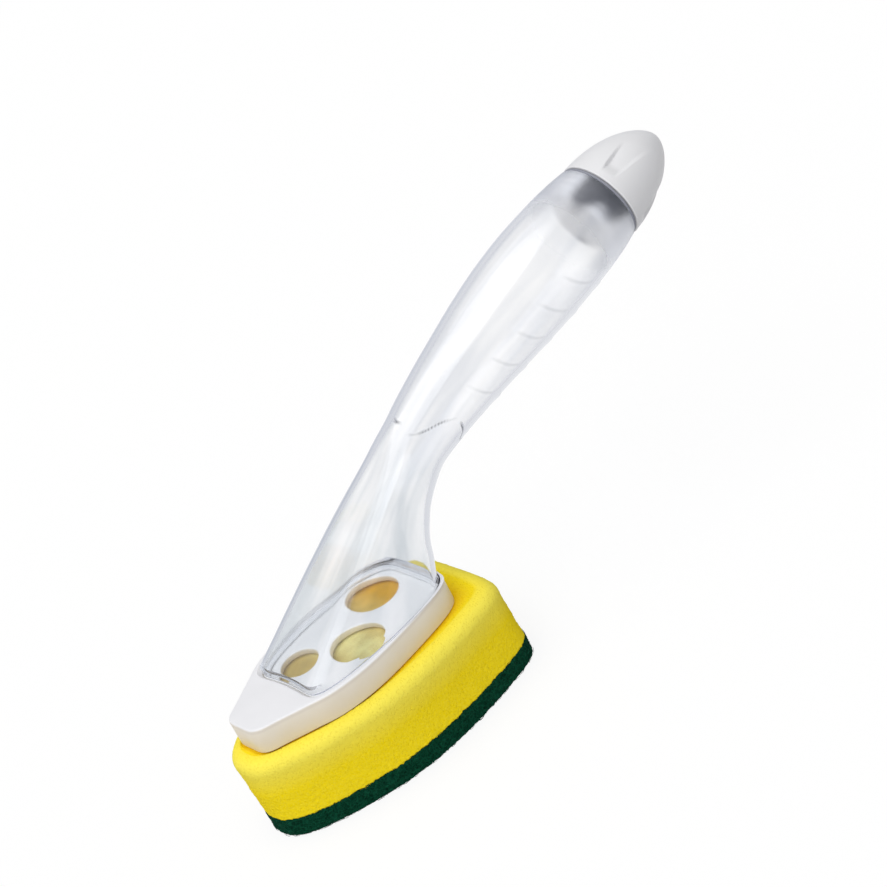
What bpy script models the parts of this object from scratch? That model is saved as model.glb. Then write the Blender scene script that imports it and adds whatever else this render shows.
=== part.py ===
"""Soap-dispensing dish brush: a clear hollow handle, a white screw cap and a clip-on sponge head.

Metres, +Z up. The brush stands on its scouring pad. The origin is the centre of the pad's
underside, +X runs from the sponge's tip to the handle's end, and the brush is symmetric in Y
but for its three soap holes.
"""

import math

import bmesh
import bpy
from mathutils import Matrix, Vector

# Gap between pieces that touch on the real brush, and the overrun of a cutter past a face
SEAT_GAP = 0.0003
CUT_OVERRUN = 0.001

# Sponge: how far it stands out past the tray, its two layers, and how its edges are rounded
SPONGE_TIP_MARGIN = 0.0069
SPONGE_HEEL_MARGIN = 0.0135
SPONGE_SIDE_MARGIN = 0.0060
PAD_THICKNESS = 0.007
PAD_EDGE_ROUND = 0.0010
PAD_TIP_DRAW = 0.0011
FOAM_THICKNESS = 0.0245
FOAM_EDGE_ROUND = 0.0034
FOAM_SIDE_DRAW = 0.0005
FOAM_HEEL_DRAW = 0.0018
FOAM_CREST_RISE = 0.0003
FOAM_CREST_SHARE = 0.55

# Tray: how far it stands out past the foot, its height and its walls
TRAY_TIP_MARGIN = 0.0193
TRAY_HEEL_MARGIN = 0.0018
TRAY_SIDE_MARGIN = 0.0026
TRAY_HEIGHT = 0.0095
TRAY_WALL = 0.0018
TRAY_FLOOR = 0.0022
TRAY_EDGE_BREAK = 0.0004

# Soap holes in the tray's floor
FRONT_HOLE_DIAMETER = 0.0132
MIDDLE_HOLE_DIAMETER = 0.0182
REAR_HOLE_DIAMETER = 0.0172

# Foot of the handle: plan size, the lip that stands in the tray's pocket, and its seal
FOOT_LENGTH = 0.0591
FOOT_WIDTH = 0.0400
FOOT_FRONT_BOW = 0.0017
FOOT_INSET = 0.0008
SEAL_THICKNESS = 0.0008
SEAL_WIDTH = 0.0022

# Handle: how far the mouth lies past and above the foot, its girth and its walls
HANDLE_REACH = 0.1498
HANDLE_RISE = 0.05665
GRIP_DIAMETER = 0.0348
HANDLE_WALL = 0.0018
LAP_SHARE = 0.7
MOUTH_WALL = 0.0023
MOUTH_DEPTH = 0.0115
MOUTH_RAMP = 0.0035

# Finger ribs under the grip
RIB_HEIGHT = 0.0005
RIB_WIDTH = 0.0016
RIB_SPACING = 0.0105
RIB_COUNT = 6
RIB_SPREAD_DEG = 62.0

# Screw thread between plug and mouth, two starts, right-handed
THREAD_LEAD = 0.0060
THREAD_STARTS = 2
THREAD_HEIGHT = 0.0005
THREAD_CLEARANCE = 0.0003
THREAD_TOP_DEPTH = 0.0015
THREAD_LENGTH = 0.0066
THREAD_ROW_STEP = 0.0004
THREAD_ROOT_SHARE = 0.20
THREAD_FLANK_SHARE = 0.10
THREAD_RUN_OUT_SHARE = 0.25

# Cap, its plug and its gasket, measured along the mouth's axis from the mouth's rim
CAP_LENGTH = 0.0306
CAP_WALL = 0.0018
CAP_TAPER_SHARE = 0.04
CAP_NOSE_POWER = 2.1
CAP_FLANK_POWER = 0.60
CAP_SOCKET_DEPTH = 0.0054
PLUG_DEPTH = 0.0096
PLUG_WALL = 0.0016
PLUG_COLLAR = 0.0048
GASKET_THICKNESS = 0.0008
GASKET_INSET = 0.0003
FLUTE_COUNT = 4
FLUTE_DEPTH = 0.0013
FLUTE_WIDTH = 0.0052
FLUTE_TURN_DEG = 41.0
FLUTE_FOOT_SHARE = 0.13
FLUTE_FOOT_RUN_SHARE = 0.10
FLUTE_TIP_SHARE = 0.96
FLUTE_TIP_RUN_SHARE = 0.30

# Counts of facets
HANDLE_FACETS = 40
ROUND_FACETS = 40
CAP_FACETS = 64
HOLE_FACETS = 32
SMOOTH_ANGLE_DEG = 38.0
CROWN_TURNS_DEG = (30.0, 60.0)

# Half outlines seen from above, front to rear: share of the length, share of the half width
SPONGE_OUTLINE_SHARES = (
    (0.000, 0.000),
    (0.004, 0.130),
    (0.020, 0.265),
    (0.055, 0.395),
    (0.104, 0.515),
    (0.173, 0.650),
    (0.253, 0.775),
    (0.342, 0.888),
    (0.460, 0.975),
    (0.590, 1.000),
    (0.738, 0.968),
    (0.856, 0.910),
    (0.936, 0.840),
    (0.982, 0.700),
    (0.998, 0.430),
    (1.000, 0.000),
)
TRAY_OUTLINE_SHARES = (
    (0.000, 0.000),
    (0.000, 0.240),
    (0.010, 0.340),
    (0.095, 0.505),
    (0.200, 0.710),
    (0.300, 0.890),
    (0.420, 0.985),
    (0.550, 1.000),
    (0.720, 0.945),
    (0.880, 0.860),
    (0.968, 0.740),
    (1.000, 0.520),
    (1.000, 0.000),
)

# Soap holes: share of the foot's length from its front, and of its half width
FRONT_HOLE_SHARES = (0.198, 0.325)
MIDDLE_HOLE_SHARES = (0.452, -0.325)
REAR_HOLE_SHARES = (0.773, 0.400)

# Stations of the handle from the foot to the mouth. Each has the centre as shares of the reach
# and the rise, the angle of the section in degrees, its half depth and half breadth as shares
# of the foot's length and width or of the grip's diameter, and how square it is, from 0 to 1.
FOOT_STATION_SHARES = (
    (0.0000, 0.0262, 180.0, 0.496, 0.500, 1.00),
    (0.0444, 0.1288, 179.3, 0.430, 0.460, 0.90),
    (0.0978, 0.2435, 174.7, 0.336, 0.415, 0.75),
    (0.1535, 0.3481, 165.8, 0.256, 0.370, 0.58),
    (0.2113, 0.4457, 150.1, 0.195, 0.328, 0.38),
    (0.2691, 0.5292, 130.4, 0.174, 0.298, 0.16),
)
GRIP_STATION_SHARES = (
    (0.3249, 0.6037, 111.0, 0.328, 0.328, 0.00),
    (0.3894, 0.6671, 107.7, 0.350, 0.350, 0.00),
    (0.4669, 0.7275, 105.4, 0.385, 0.385, 0.00),
    (0.5442, 0.7798, 103.8, 0.420, 0.420, 0.00),
    (0.6250, 0.8301, 102.4, 0.457, 0.457, 0.00),
    (0.7084, 0.8754, 100.9, 0.486, 0.486, 0.00),
    (0.7964, 0.9166, 99.5, 0.500, 0.500, 0.00),
    (0.8879, 0.9549, 98.9, 0.489, 0.489, 0.00),
    (0.9546, 0.9810, 98.8, 0.467, 0.467, 0.00),
    (1.0000, 1.0000, 98.8, 0.438, 0.438, 0.00),
)
SEAM_STATION = 7
ROWS_PER_STATION = 2
STATION_STEP_SHARE = 0.01
SQUAREST_POWER = 8.0
ROUNDEST_POWER = 2.0
FOOT_FRONT_NARROW_SHARE = 0.19
FOOT_REAR_NARROW_SHARE = 0.15

# Rows of the cap, outside and in its hollow, as shares of its length
CAP_ROW_SHARES = (
    0.0, 0.05, 0.12, 0.18, 0.24, 0.34, 0.44, 0.54, 0.64, 0.73, 0.81, 0.88, 0.935, 0.972, 0.993,
)
CAP_HOLLOW_SHARES = (0.40, 0.60, 0.76)

# Sizes, levels and places that follow from the sizes above
TRAY_LENGTH = TRAY_TIP_MARGIN + FOOT_LENGTH + TRAY_HEEL_MARGIN
TRAY_WIDTH = FOOT_WIDTH + 2 * TRAY_SIDE_MARGIN
SPONGE_LENGTH = SPONGE_TIP_MARGIN + TRAY_LENGTH + SPONGE_HEEL_MARGIN
SPONGE_WIDTH = TRAY_WIDTH + 2 * SPONGE_SIDE_MARGIN
TRAY_BASE_Z = PAD_THICKNESS + FOAM_THICKNESS
RIM_Z = TRAY_BASE_Z + TRAY_HEIGHT
SPONGE_FRONT_X = -SPONGE_LENGTH / 2
TRAY_FRONT_X = SPONGE_FRONT_X + SPONGE_TIP_MARGIN
FOOT_FRONT_X = TRAY_FRONT_X + TRAY_TIP_MARGIN
FOOT_CENTRE_X = FOOT_FRONT_X + FOOT_LENGTH / 2
FOOT_BASE_Z = RIM_Z - FOOT_INSET
SEAL_BASE_Z = FOOT_BASE_Z - SEAT_GAP - SEAL_THICKNESS
POCKET_FLOOR_Z = SEAL_BASE_Z - SEAT_GAP
TRAY_CEILING_Z = POCKET_FLOOR_Z - TRAY_FLOOR
MOUTH_RADIUS = GRIP_DIAMETER * GRIP_STATION_SHARES[-1][3]
BORE_RADIUS = MOUTH_RADIUS - MOUTH_WALL
PLUG_RADIUS = BORE_RADIUS - THREAD_HEIGHT - THREAD_CLEARANCE
THREAD_PITCH = THREAD_LEAD / THREAD_STARTS
CAP_RIM = GASKET_THICKNESS + 2 * SEAT_GAP
MOUTH_TILT_DEG = GRIP_STATION_SHARES[-1][2] - 90.0


def clear_scene():
    for obj in list(bpy.data.objects):
        bpy.data.objects.remove(obj, do_unlink=True)


def linear(hex_colour):
    """Linear RGBA of an sRGB hex colour."""
    channels = [int(hex_colour[i : i + 2], 16) / 255 for i in (1, 3, 5)]
    return [c / 12.92 if c <= 0.04045 else ((c + 0.055) / 1.055) ** 2.4 for c in channels] + [1.0]


def make_material(name, hex_colour, roughness, transmission=0.0):
    material = bpy.data.materials.new(name)
    material.use_nodes = True
    shader = material.node_tree.nodes["Principled BSDF"]
    shader.inputs["Base Color"].default_value = linear(hex_colour)
    shader.inputs["Roughness"].default_value = roughness
    shader.inputs["Metallic"].default_value = 0.0
    shader.inputs["Transmission Weight"].default_value = transmission
    return material


def clear_plastic():
    return make_material("clear_moulded_plastic", "#eaedf2", 0.06, 0.9)


def white_plastic():
    return make_material("white_moulded_plastic", "#e6e6e8", 0.35)


def grey_plastic():
    return make_material("grey_moulded_plastic", "#6a6c78", 0.45)


def dark_rubber():
    return make_material("dark_rubber", "#3c3e46", 0.75)


def yellow_foam():
    return make_material("yellow_foam", "#e8d124", 0.9)


def green_nonwoven():
    return make_material("green_nonwoven", "#0f4536", 0.95)


def catmull_rom(rows, t):
    """Row of values at place t on a smooth curve through the rows."""
    last = len(rows) - 1
    i = min(int(t), last - 1)
    f = t - i
    before = rows[max(i - 1, 0)]
    after = rows[min(i + 2, last)]
    values = []
    for a, b, c, d in zip(before, rows[i], rows[i + 1], after):
        slope_in = (c - a) / 2
        slope_out = (d - b) / 2
        rise = c - b
        values.append(
            b + slope_in * f + (3 * rise - 2 * slope_in - slope_out) * f**2
            + (slope_in + slope_out - 2 * rise) * f**3
        )
    return values


def plan_outline(shares, front_x, length, width, inset=0.0):
    """Closed outline seen from above, as (x, y) pairs, drawn in from its edge by inset."""
    half = HANDLE_FACETS // 2
    places = []
    for i in range(HANDLE_FACETS):
        side = 1 if i <= half else -1
        step = i if i <= half else HANDLE_FACETS - i
        along, across = catmull_rom(shares, step / half * (len(shares) - 1))
        places.append(Vector((front_x + along * length, side * across * width / 2)))
    if not inset:
        return places
    drawn_in = []
    for i, place in enumerate(places):
        tangent = places[(i + 1) % HANDLE_FACETS] - places[i - 1]
        inward = Vector((tangent.y, -tangent.x)).normalized()
        drawn_in.append(place + inward * inset)
    return drawn_in


def sponge_outline(inset=0.0, tip_draw=0.0, heel_draw=0.0):
    """Outline of the sponge, drawn in all round, and more at its tip or its heel."""
    front_x = SPONGE_FRONT_X + tip_draw
    length = SPONGE_LENGTH - tip_draw - heel_draw
    return plan_outline(SPONGE_OUTLINE_SHARES, front_x, length, SPONGE_WIDTH, inset)


def tray_outline(inset=0.0):
    return plan_outline(TRAY_OUTLINE_SHARES, TRAY_FRONT_X, TRAY_LENGTH, TRAY_WIDTH, inset)


def at_level(outline, z):
    return [Vector((x, y, z)) for x, y in outline]


def handle_stations():
    """Centre x and z, section angle, half depth, half breadth and squareness of each station."""
    stations = []
    for along, rise, angle, depth, breadth, square in FOOT_STATION_SHARES:
        stations.append((along, rise, angle, depth * FOOT_LENGTH, breadth * FOOT_WIDTH, square))
    for along, rise, angle, depth, breadth, square in GRIP_STATION_SHARES:
        stations.append((along, rise, angle, depth * GRIP_DIAMETER, breadth * GRIP_DIAMETER, square))
    return [
        (FOOT_CENTRE_X + along * HANDLE_REACH, RIM_Z + rise * HANDLE_RISE, *rest)
        for along, rise, *rest in stations
    ]


STATIONS = handle_stations()
MOUTH_STATION = len(STATIONS) - 1
MOUTH_CENTRE = Vector((STATIONS[-1][0], 0, STATIONS[-1][1]))
MOUTH_TILT = math.radians(MOUTH_TILT_DEG)
MOUTH_AXIS = Vector((math.cos(MOUTH_TILT), 0, math.sin(MOUTH_TILT)))


def section_ring(t, inset=0.0, rib=0.0):
    """One closed section of the handle at station t. A rib lifts the underside."""
    x, z, angle, depth, breadth, square = catmull_rom(STATIONS, t)
    half_depth = depth - inset
    half_breadth = breadth - inset
    power = ROUNDEST_POWER + square * (SQUAREST_POWER - ROUNDEST_POWER)
    forward = Vector((math.cos(math.radians(angle)), 0, math.sin(math.radians(angle))))
    ring = []
    for i in range(HANDLE_FACETS):
        turn = 2 * math.pi * i / HANDLE_FACETS
        size = (abs(math.cos(turn)) ** power + abs(math.sin(turn)) ** power) ** (-1 / power)
        u = size * math.cos(turn)
        v = size * math.sin(turn)
        narrow = FOOT_FRONT_NARROW_SHARE if u > 0 else FOOT_REAR_NARROW_SHARE
        across = half_breadth * v * (1 - square * narrow * u * u)
        along = half_depth * u - square * FOOT_FRONT_BOW * max(u, 0) * (1 - v * v)
        from_under = abs(math.degrees(turn) - 180)
        along -= rib * max(0.0, 1 - (from_under / RIB_SPREAD_DEG) ** 2)
        ring.append(Vector((x, 0, z)) + forward * along + Vector((0, across, 0)))
    return ring


def foot_outline(inset=0.0):
    """Plan of the foot's lip, point for point with the tray's outline."""
    return [Vector((place.x, place.y)) for place in section_ring(0, inset)]


def turned_ring(radius, height, facets=ROUND_FACETS):
    """Circle round local Z. A radius may be a number or a function of the angle."""
    ring = []
    for i in range(facets):
        angle = 2 * math.pi * i / facets
        r = radius(angle) if callable(radius) else radius
        ring.append(Vector((r * math.cos(angle), r * math.sin(angle), height)))
    return ring


def mouth_ring(radius, height):
    """Circle round the mouth's axis, placed in the world, in step with the handle's sections."""
    ring = []
    up = Vector((-MOUTH_AXIS.z, 0, MOUTH_AXIS.x))
    for i in range(HANDLE_FACETS):
        angle = 2 * math.pi * i / HANDLE_FACETS
        r = radius(math.pi - angle) if callable(radius) else radius
        across = Vector((0, r * math.sin(angle), 0))
        ring.append(MOUTH_CENTRE + MOUTH_AXIS * height + up * (r * math.cos(angle)) + across)
    return ring


def add_object(name, bm, material, matrix=None):
    mesh = bpy.data.meshes.new(name)
    bmesh.ops.recalc_face_normals(bm, faces=bm.faces[:])
    bm.to_mesh(mesh)
    bm.free()
    mesh.materials.append(material)
    mesh.shade_smooth()
    mesh.set_sharp_from_angle(angle=math.radians(SMOOTH_ANGLE_DEG))
    obj = bpy.data.objects.new(name, mesh)
    bpy.context.scene.collection.objects.link(obj)
    if matrix is not None:
        obj.matrix_world = matrix
    return obj


def bridge(bm, ring_a, ring_b):
    count = len(ring_a)
    for i in range(count):
        j = (i + 1) % count
        bm.faces.new((ring_a[i], ring_a[j], ring_b[j], ring_b[i]))


def lofted(rings, hollow):
    """Skin over rings. Hollow joins the last ring to the first, otherwise both ends are capped."""
    bm = bmesh.new()
    made = [[bm.verts.new(place) for place in ring] for ring in rings]
    for ring_a, ring_b in zip(made, made[1:]):
        bridge(bm, ring_a, ring_b)
    if hollow:
        bridge(bm, made[-1], made[0])
    else:
        bm.faces.new(made[0])
        bm.faces.new(made[-1])
    return bm


def thread_profile(place):
    """Share of the thread's height at a place along one pitch, ridge centred on zero."""
    from_ridge = abs((place / THREAD_PITCH + 1 / 2) % 1 - 1 / 2)
    return min(1.0, max(0.0, (THREAD_ROOT_SHARE - from_ridge) / THREAD_FLANK_SHARE))


def thread_fade(depth):
    """The ridges run out over the first and last part of a pitch."""
    run_out = THREAD_PITCH * THREAD_RUN_OUT_SHARE
    from_end = min(depth, THREAD_LENGTH - depth)
    return min(1.0, max(0.0, from_end / run_out))


def threaded_radius(root, height, place, phase):
    """Radius function of a ring at a place along the thread, counted down from its top."""
    depth = -place - THREAD_TOP_DEPTH

    def radius(angle):
        along = place - THREAD_LEAD * angle / (2 * math.pi) + phase
        return root + height * thread_profile(along) * thread_fade(depth)

    return radius


def thread_places():
    """Heights of the rings that carry the thread, from the deepest up."""
    count = round(THREAD_LENGTH / THREAD_ROW_STEP)
    step = THREAD_LENGTH / count
    return [-THREAD_TOP_DEPTH - THREAD_LENGTH + i * step for i in range(count + 1)]


def row_places(first, last):
    """Stations of the rows from first to last, with ROWS_PER_STATION to a station."""
    count = round((last - first) * ROWS_PER_STATION)
    return [first + i * (last - first) / count for i in range(count + 1)]


def station_at_length(length):
    """Station whose centre lies the given length back from the mouth, along the handle."""
    t = float(MOUTH_STATION)
    while length > 0 and t > SEAM_STATION:
        x0, z0 = catmull_rom(STATIONS, t)[:2]
        x1, z1 = catmull_rom(STATIONS, t - STATION_STEP_SHARE)[:2]
        length -= math.hypot(x1 - x0, z1 - z0)
        t -= STATION_STEP_SHARE
    return t


def rib_rows():
    """Rows of the grip's underside: station and lift, three rows to a rib."""
    rows = []
    first = MOUTH_DEPTH + MOUTH_RAMP + RIB_SPACING
    for i in range(RIB_COUNT):
        middle = first + i * RIB_SPACING
        rows.append((station_at_length(middle - RIB_WIDTH / 2), 0.0))
        rows.append((station_at_length(middle), RIB_HEIGHT))
        rows.append((station_at_length(middle + RIB_WIDTH / 2), 0.0))
    return rows


def lap_inset(side):
    """How deep the lap joint's face lies under the outer surface, for socket or spigot."""
    return HANDLE_WALL / 2 + side * SEAT_GAP / 2


def make_handle_grip():
    """Upper moulding, from the lap joint at the neck to the threaded mouth."""
    ribs = rib_rows()
    plain = row_places(SEAM_STATION, MOUTH_STATION)
    lowest, highest = min(ribs)[0], max(ribs)[0]
    outside = sorted([(t, 0.0) for t in plain if not lowest <= t <= highest] + ribs)
    rings = [section_ring(t, rib=lift) for t, lift in outside]
    rings.append(mouth_ring(BORE_RADIUS, 0))
    for height in reversed(thread_places()):
        radius = threaded_radius(BORE_RADIUS, -THREAD_HEIGHT, height, THREAD_PITCH / 2)
        rings.append(mouth_ring(radius, height))
    rings.append(mouth_ring(BORE_RADIUS, -MOUTH_DEPTH))
    lap_end = SEAM_STATION + LAP_SHARE
    inner_start = station_at_length(MOUTH_DEPTH + MOUTH_RAMP)
    inside = [t for t in row_places(SEAM_STATION + 1, MOUTH_STATION) if t < inner_start]
    for t in [inner_start, *reversed(inside)]:
        rings.append(section_ring(t, HANDLE_WALL))
    rings.append(section_ring(lap_end, HANDLE_WALL))
    rings.append(section_ring(lap_end, lap_inset(-1)))
    rings.append(section_ring(SEAM_STATION, lap_inset(-1)))
    return add_object("handle_grip", lofted(rings, hollow=True), clear_plastic())


def make_handle_foot():
    """Lower moulding: a flared foot, open below, and a spigot that enters the grip."""
    seam_gap = SEAT_GAP / HANDLE_REACH * MOUTH_STATION
    seam = SEAM_STATION - seam_gap
    top = SEAM_STATION + LAP_SHARE - seam_gap
    outside = row_places(0, SEAM_STATION)[:-1] + [seam]
    rings = [at_level(foot_outline(), FOOT_BASE_Z)]
    rings.extend(section_ring(t) for t in outside)
    rings.append(section_ring(seam, lap_inset(1)))
    rings.append(section_ring(top, lap_inset(1)))
    rings.append(section_ring(top, HANDLE_WALL))
    rings.extend(section_ring(t, HANDLE_WALL) for t in reversed(outside))
    rings.append(at_level(foot_outline(HANDLE_WALL), FOOT_BASE_Z))
    return add_object("handle_foot", lofted(rings, hollow=True), clear_plastic())


def mouth_matrix():
    """Local Z on the mouth's axis, origin at the centre of its rim."""
    turn = Matrix.Rotation(math.pi / 2 - MOUTH_TILT, 4, "Y")
    return Matrix.Translation(MOUTH_CENTRE) @ turn


def cap_radius(height):
    """Outer radius of the bullet-shaped cap at a height over its rim."""
    u = min(max(height / CAP_LENGTH, 0.0), 1.0)
    flank = (1 - u**CAP_NOSE_POWER) ** CAP_FLANK_POWER
    return MOUTH_RADIUS * flank * (1 - CAP_TAPER_SHARE * u)


def flute_share(angle, height):
    """Depth share of the thumb flutes at an angle and a height over the cap's rim."""
    sector = 2 * math.pi / FLUTE_COUNT
    off = (angle - math.radians(FLUTE_TURN_DEG) + sector / 2) % sector - sector / 2
    u = height / CAP_LENGTH
    across = off * cap_radius(height) / (FLUTE_WIDTH / 2 * (1 + u))
    from_foot = min(1.0, max(0.0, (u - FLUTE_FOOT_SHARE) / FLUTE_FOOT_RUN_SHARE))
    from_tip = min(1.0, max(0.0, (FLUTE_TIP_SHARE - u) / FLUTE_TIP_RUN_SHARE))
    return max(0.0, 1 - across * across) * from_foot * from_tip


def make_end_cap():
    """White bullet-shaped cap with thumb flutes, hollow, with a socket for the plug."""
    heights = [share * CAP_LENGTH for share in CAP_ROW_SHARES]
    socket_radius = PLUG_RADIUS + SEAT_GAP

    def fluted(height):
        base = cap_radius(height)
        return lambda angle: base - FLUTE_DEPTH * flute_share(angle, height)

    rings = [turned_ring(fluted(h), CAP_RIM + h, CAP_FACETS) for h in reversed(heights)]
    rings.append(turned_ring(socket_radius, CAP_RIM, CAP_FACETS))
    rings.append(turned_ring(socket_radius, CAP_RIM + CAP_SOCKET_DEPTH, CAP_FACETS))
    for share in CAP_HOLLOW_SHARES:
        inner = min(socket_radius, cap_radius(share * CAP_LENGTH) - CAP_WALL - FLUTE_DEPTH)
        rings.append(turned_ring(inner, CAP_RIM + share * CAP_LENGTH, CAP_FACETS))
    bm = lofted(rings, hollow=False)
    return add_object("end_cap", bm, white_plastic(), mouth_matrix())


def make_cap_plug():
    """Grey threaded plug: a cup pressed into the cap, its closed end in the mouth."""
    chamfer = THREAD_HEIGHT
    top = CAP_RIM + PLUG_COLLAR
    rings = [turned_ring(PLUG_RADIUS - chamfer, -PLUG_DEPTH)]
    rings.append(turned_ring(PLUG_RADIUS, -PLUG_DEPTH + chamfer))
    for height in thread_places():
        rings.append(turned_ring(threaded_radius(PLUG_RADIUS, THREAD_HEIGHT, height, 0), height))
    rings.append(turned_ring(PLUG_RADIUS, top))
    rings.append(turned_ring(PLUG_RADIUS - PLUG_WALL, top))
    rings.append(turned_ring(PLUG_RADIUS - PLUG_WALL, -PLUG_DEPTH + PLUG_WALL))
    return add_object("cap_plug", lofted(rings, hollow=False), grey_plastic(), mouth_matrix())


def make_cap_gasket():
    """Flat rubber ring round the plug, between the mouth's rim and the cap's rim."""
    outer = MOUTH_RADIUS - GASKET_INSET
    inner = PLUG_RADIUS + SEAT_GAP
    low = SEAT_GAP
    high = SEAT_GAP + GASKET_THICKNESS
    rings = [turned_ring(r, h) for r, h in ((inner, low), (outer, low), (outer, high), (inner, high))]
    return add_object("cap_gasket", lofted(rings, hollow=True), dark_rubber(), mouth_matrix())


def make_foot_seal():
    """Soft ring in the tray's pocket that the foot's edge stands on."""
    low = SEAL_BASE_Z
    high = SEAL_BASE_Z + SEAL_THICKNESS
    outer = foot_outline()
    inner = foot_outline(SEAL_WIDTH)
    rings = [at_level(inner, low), at_level(outer, low), at_level(outer, high), at_level(inner, high)]
    return add_object("foot_seal", lofted(rings, hollow=True), dark_rubber())


def soap_holes():
    """Centre and diameter of each soap hole."""
    holes = (
        (FRONT_HOLE_SHARES, FRONT_HOLE_DIAMETER),
        (MIDDLE_HOLE_SHARES, MIDDLE_HOLE_DIAMETER),
        (REAR_HOLE_SHARES, REAR_HOLE_DIAMETER),
    )
    for (along, across), diameter in holes:
        x = FOOT_FRONT_X + along * FOOT_LENGTH
        yield Vector((x, across * FOOT_WIDTH / 2)), diameter


def cut_hole(target, centre, diameter, low, high):
    """Round hole through the target from low to high."""
    bm = bmesh.new()
    bmesh.ops.create_cone(
        bm, cap_ends=True, segments=HOLE_FACETS, radius1=diameter / 2, radius2=diameter / 2,
        depth=high - low,
    )
    bmesh.ops.translate(bm, verts=bm.verts[:], vec=(centre.x, centre.y, (low + high) / 2))
    cutter = add_object("hole_cutter", bm, target.data.materials[0])
    cutter.hide_render = True
    cutter.display_type = "WIRE"
    boolean = target.modifiers.new("soap_hole", "BOOLEAN")
    boolean.operation = "DIFFERENCE"
    boolean.solver = "EXACT"
    boolean.object = cutter


def make_base_tray():
    """White tray: a pocket for the foot on top, a skirt that holds the foam below."""
    outer = tray_outline()
    pocket = foot_outline(-SEAT_GAP)
    skirt = tray_outline(TRAY_WALL)
    rings = [
        at_level(pocket, POCKET_FLOOR_Z),
        at_level(pocket, RIM_Z),
        at_level(tray_outline(TRAY_EDGE_BREAK), RIM_Z),
        at_level(outer, RIM_Z - TRAY_EDGE_BREAK),
        at_level(outer, TRAY_BASE_Z),
        at_level(skirt, TRAY_BASE_Z),
        at_level(skirt, TRAY_CEILING_Z),
    ]
    tray = add_object("base_tray", lofted(rings, hollow=False), white_plastic())
    for centre, diameter in soap_holes():
        cut_hole(tray, centre, diameter, TRAY_CEILING_Z - CUT_OVERRUN, POCKET_FLOOR_Z + CUT_OVERRUN)
    return tray


def make_foam_sponge():
    """Yellow foam block with a rounded crown, drawn-in sides and a plateau inside the skirt."""
    base = PAD_THICKNESS + SEAT_GAP
    shoulder = TRAY_BASE_Z - SEAT_GAP
    round_z = shoulder - FOAM_EDGE_ROUND
    rings = [
        at_level(sponge_outline(tip_draw=PAD_TIP_DRAW), base),
        at_level(sponge_outline(FOAM_SIDE_DRAW), (base + round_z) / 2),
        at_level(sponge_outline(heel_draw=FOAM_HEEL_DRAW / 2), round_z),
    ]
    for degrees in CROWN_TURNS_DEG:
        turn = math.radians(degrees)
        drop = FOAM_EDGE_ROUND * (1 - math.cos(turn))
        rise = (FOAM_EDGE_ROUND + FOAM_CREST_RISE) * math.sin(turn)
        crown = sponge_outline(drop, heel_draw=FOAM_HEEL_DRAW)
        rings.append(at_level(crown, round_z + rise))
    edge = sponge_outline(FOAM_EDGE_ROUND, heel_draw=FOAM_HEEL_DRAW)
    seat = tray_outline(-SEAT_GAP)
    crest = [a.lerp(b, FOAM_CREST_SHARE) for a, b in zip(edge, seat)]
    plateau = tray_outline(TRAY_WALL + SEAT_GAP)
    rings.append(at_level(crest, shoulder + FOAM_CREST_RISE))
    rings.append(at_level(seat, shoulder))
    rings.append(at_level(plateau, shoulder))
    rings.append(at_level(plateau, TRAY_CEILING_Z - SEAT_GAP))
    return add_object("foam_sponge", lofted(rings, hollow=False), yellow_foam())


def make_scouring_pad():
    """Green scouring pad, flat below, under the whole foam."""
    rings = [
        at_level(sponge_outline(PAD_EDGE_ROUND, PAD_TIP_DRAW), 0),
        at_level(sponge_outline(tip_draw=PAD_TIP_DRAW), PAD_EDGE_ROUND),
        at_level(sponge_outline(tip_draw=PAD_TIP_DRAW), PAD_THICKNESS),
    ]
    return add_object("scouring_pad", lofted(rings, hollow=False), green_nonwoven())


def main():
    clear_scene()
    make_scouring_pad()
    make_foam_sponge()
    make_base_tray()
    make_foot_seal()
    make_handle_foot()
    make_handle_grip()
    make_cap_gasket()
    make_cap_plug()
    make_end_cap()


main()
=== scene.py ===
"""Looks of the soap-dispensing dish brush: its photographed surfaces, camera, lamps and floor.

Metres, +Z up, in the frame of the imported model: the brush stands on its scouring pad at z = 0,
+X runs from the sponge's tip to the handle's end.
"""

import math
import random

import bmesh
import bpy
from mathutils import Matrix, Vector, noise


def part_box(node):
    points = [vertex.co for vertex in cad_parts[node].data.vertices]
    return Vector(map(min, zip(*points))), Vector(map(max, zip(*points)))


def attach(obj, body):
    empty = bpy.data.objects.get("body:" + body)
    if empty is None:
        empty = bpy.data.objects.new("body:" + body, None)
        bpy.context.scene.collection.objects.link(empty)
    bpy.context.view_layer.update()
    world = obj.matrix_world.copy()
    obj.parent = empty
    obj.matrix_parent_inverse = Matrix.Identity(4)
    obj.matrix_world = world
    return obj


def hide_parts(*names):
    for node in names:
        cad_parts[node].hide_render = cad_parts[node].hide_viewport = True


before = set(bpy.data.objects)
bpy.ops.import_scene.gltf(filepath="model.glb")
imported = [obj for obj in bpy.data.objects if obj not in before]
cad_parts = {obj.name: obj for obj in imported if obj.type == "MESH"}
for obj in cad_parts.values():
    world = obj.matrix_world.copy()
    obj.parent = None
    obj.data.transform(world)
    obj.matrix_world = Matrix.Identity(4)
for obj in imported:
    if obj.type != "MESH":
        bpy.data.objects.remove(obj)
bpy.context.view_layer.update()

# Levels and plan sizes of the head, read from the frame
PAD_LOW, PAD_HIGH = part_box("scouring_pad")
FOAM_LOW, FOAM_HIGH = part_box("foam_sponge")
TRAY_LOW, TRAY_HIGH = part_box("base_tray")
SEAL_LOW, SEAL_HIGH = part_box("foot_seal")
FOOT_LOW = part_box("handle_foot")[0]

# Gaps between pieces that touch, and how near two places lie that are one
SEAT_GAP = 0.0003
MERGE_DISTANCE = 0.000002

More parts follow.
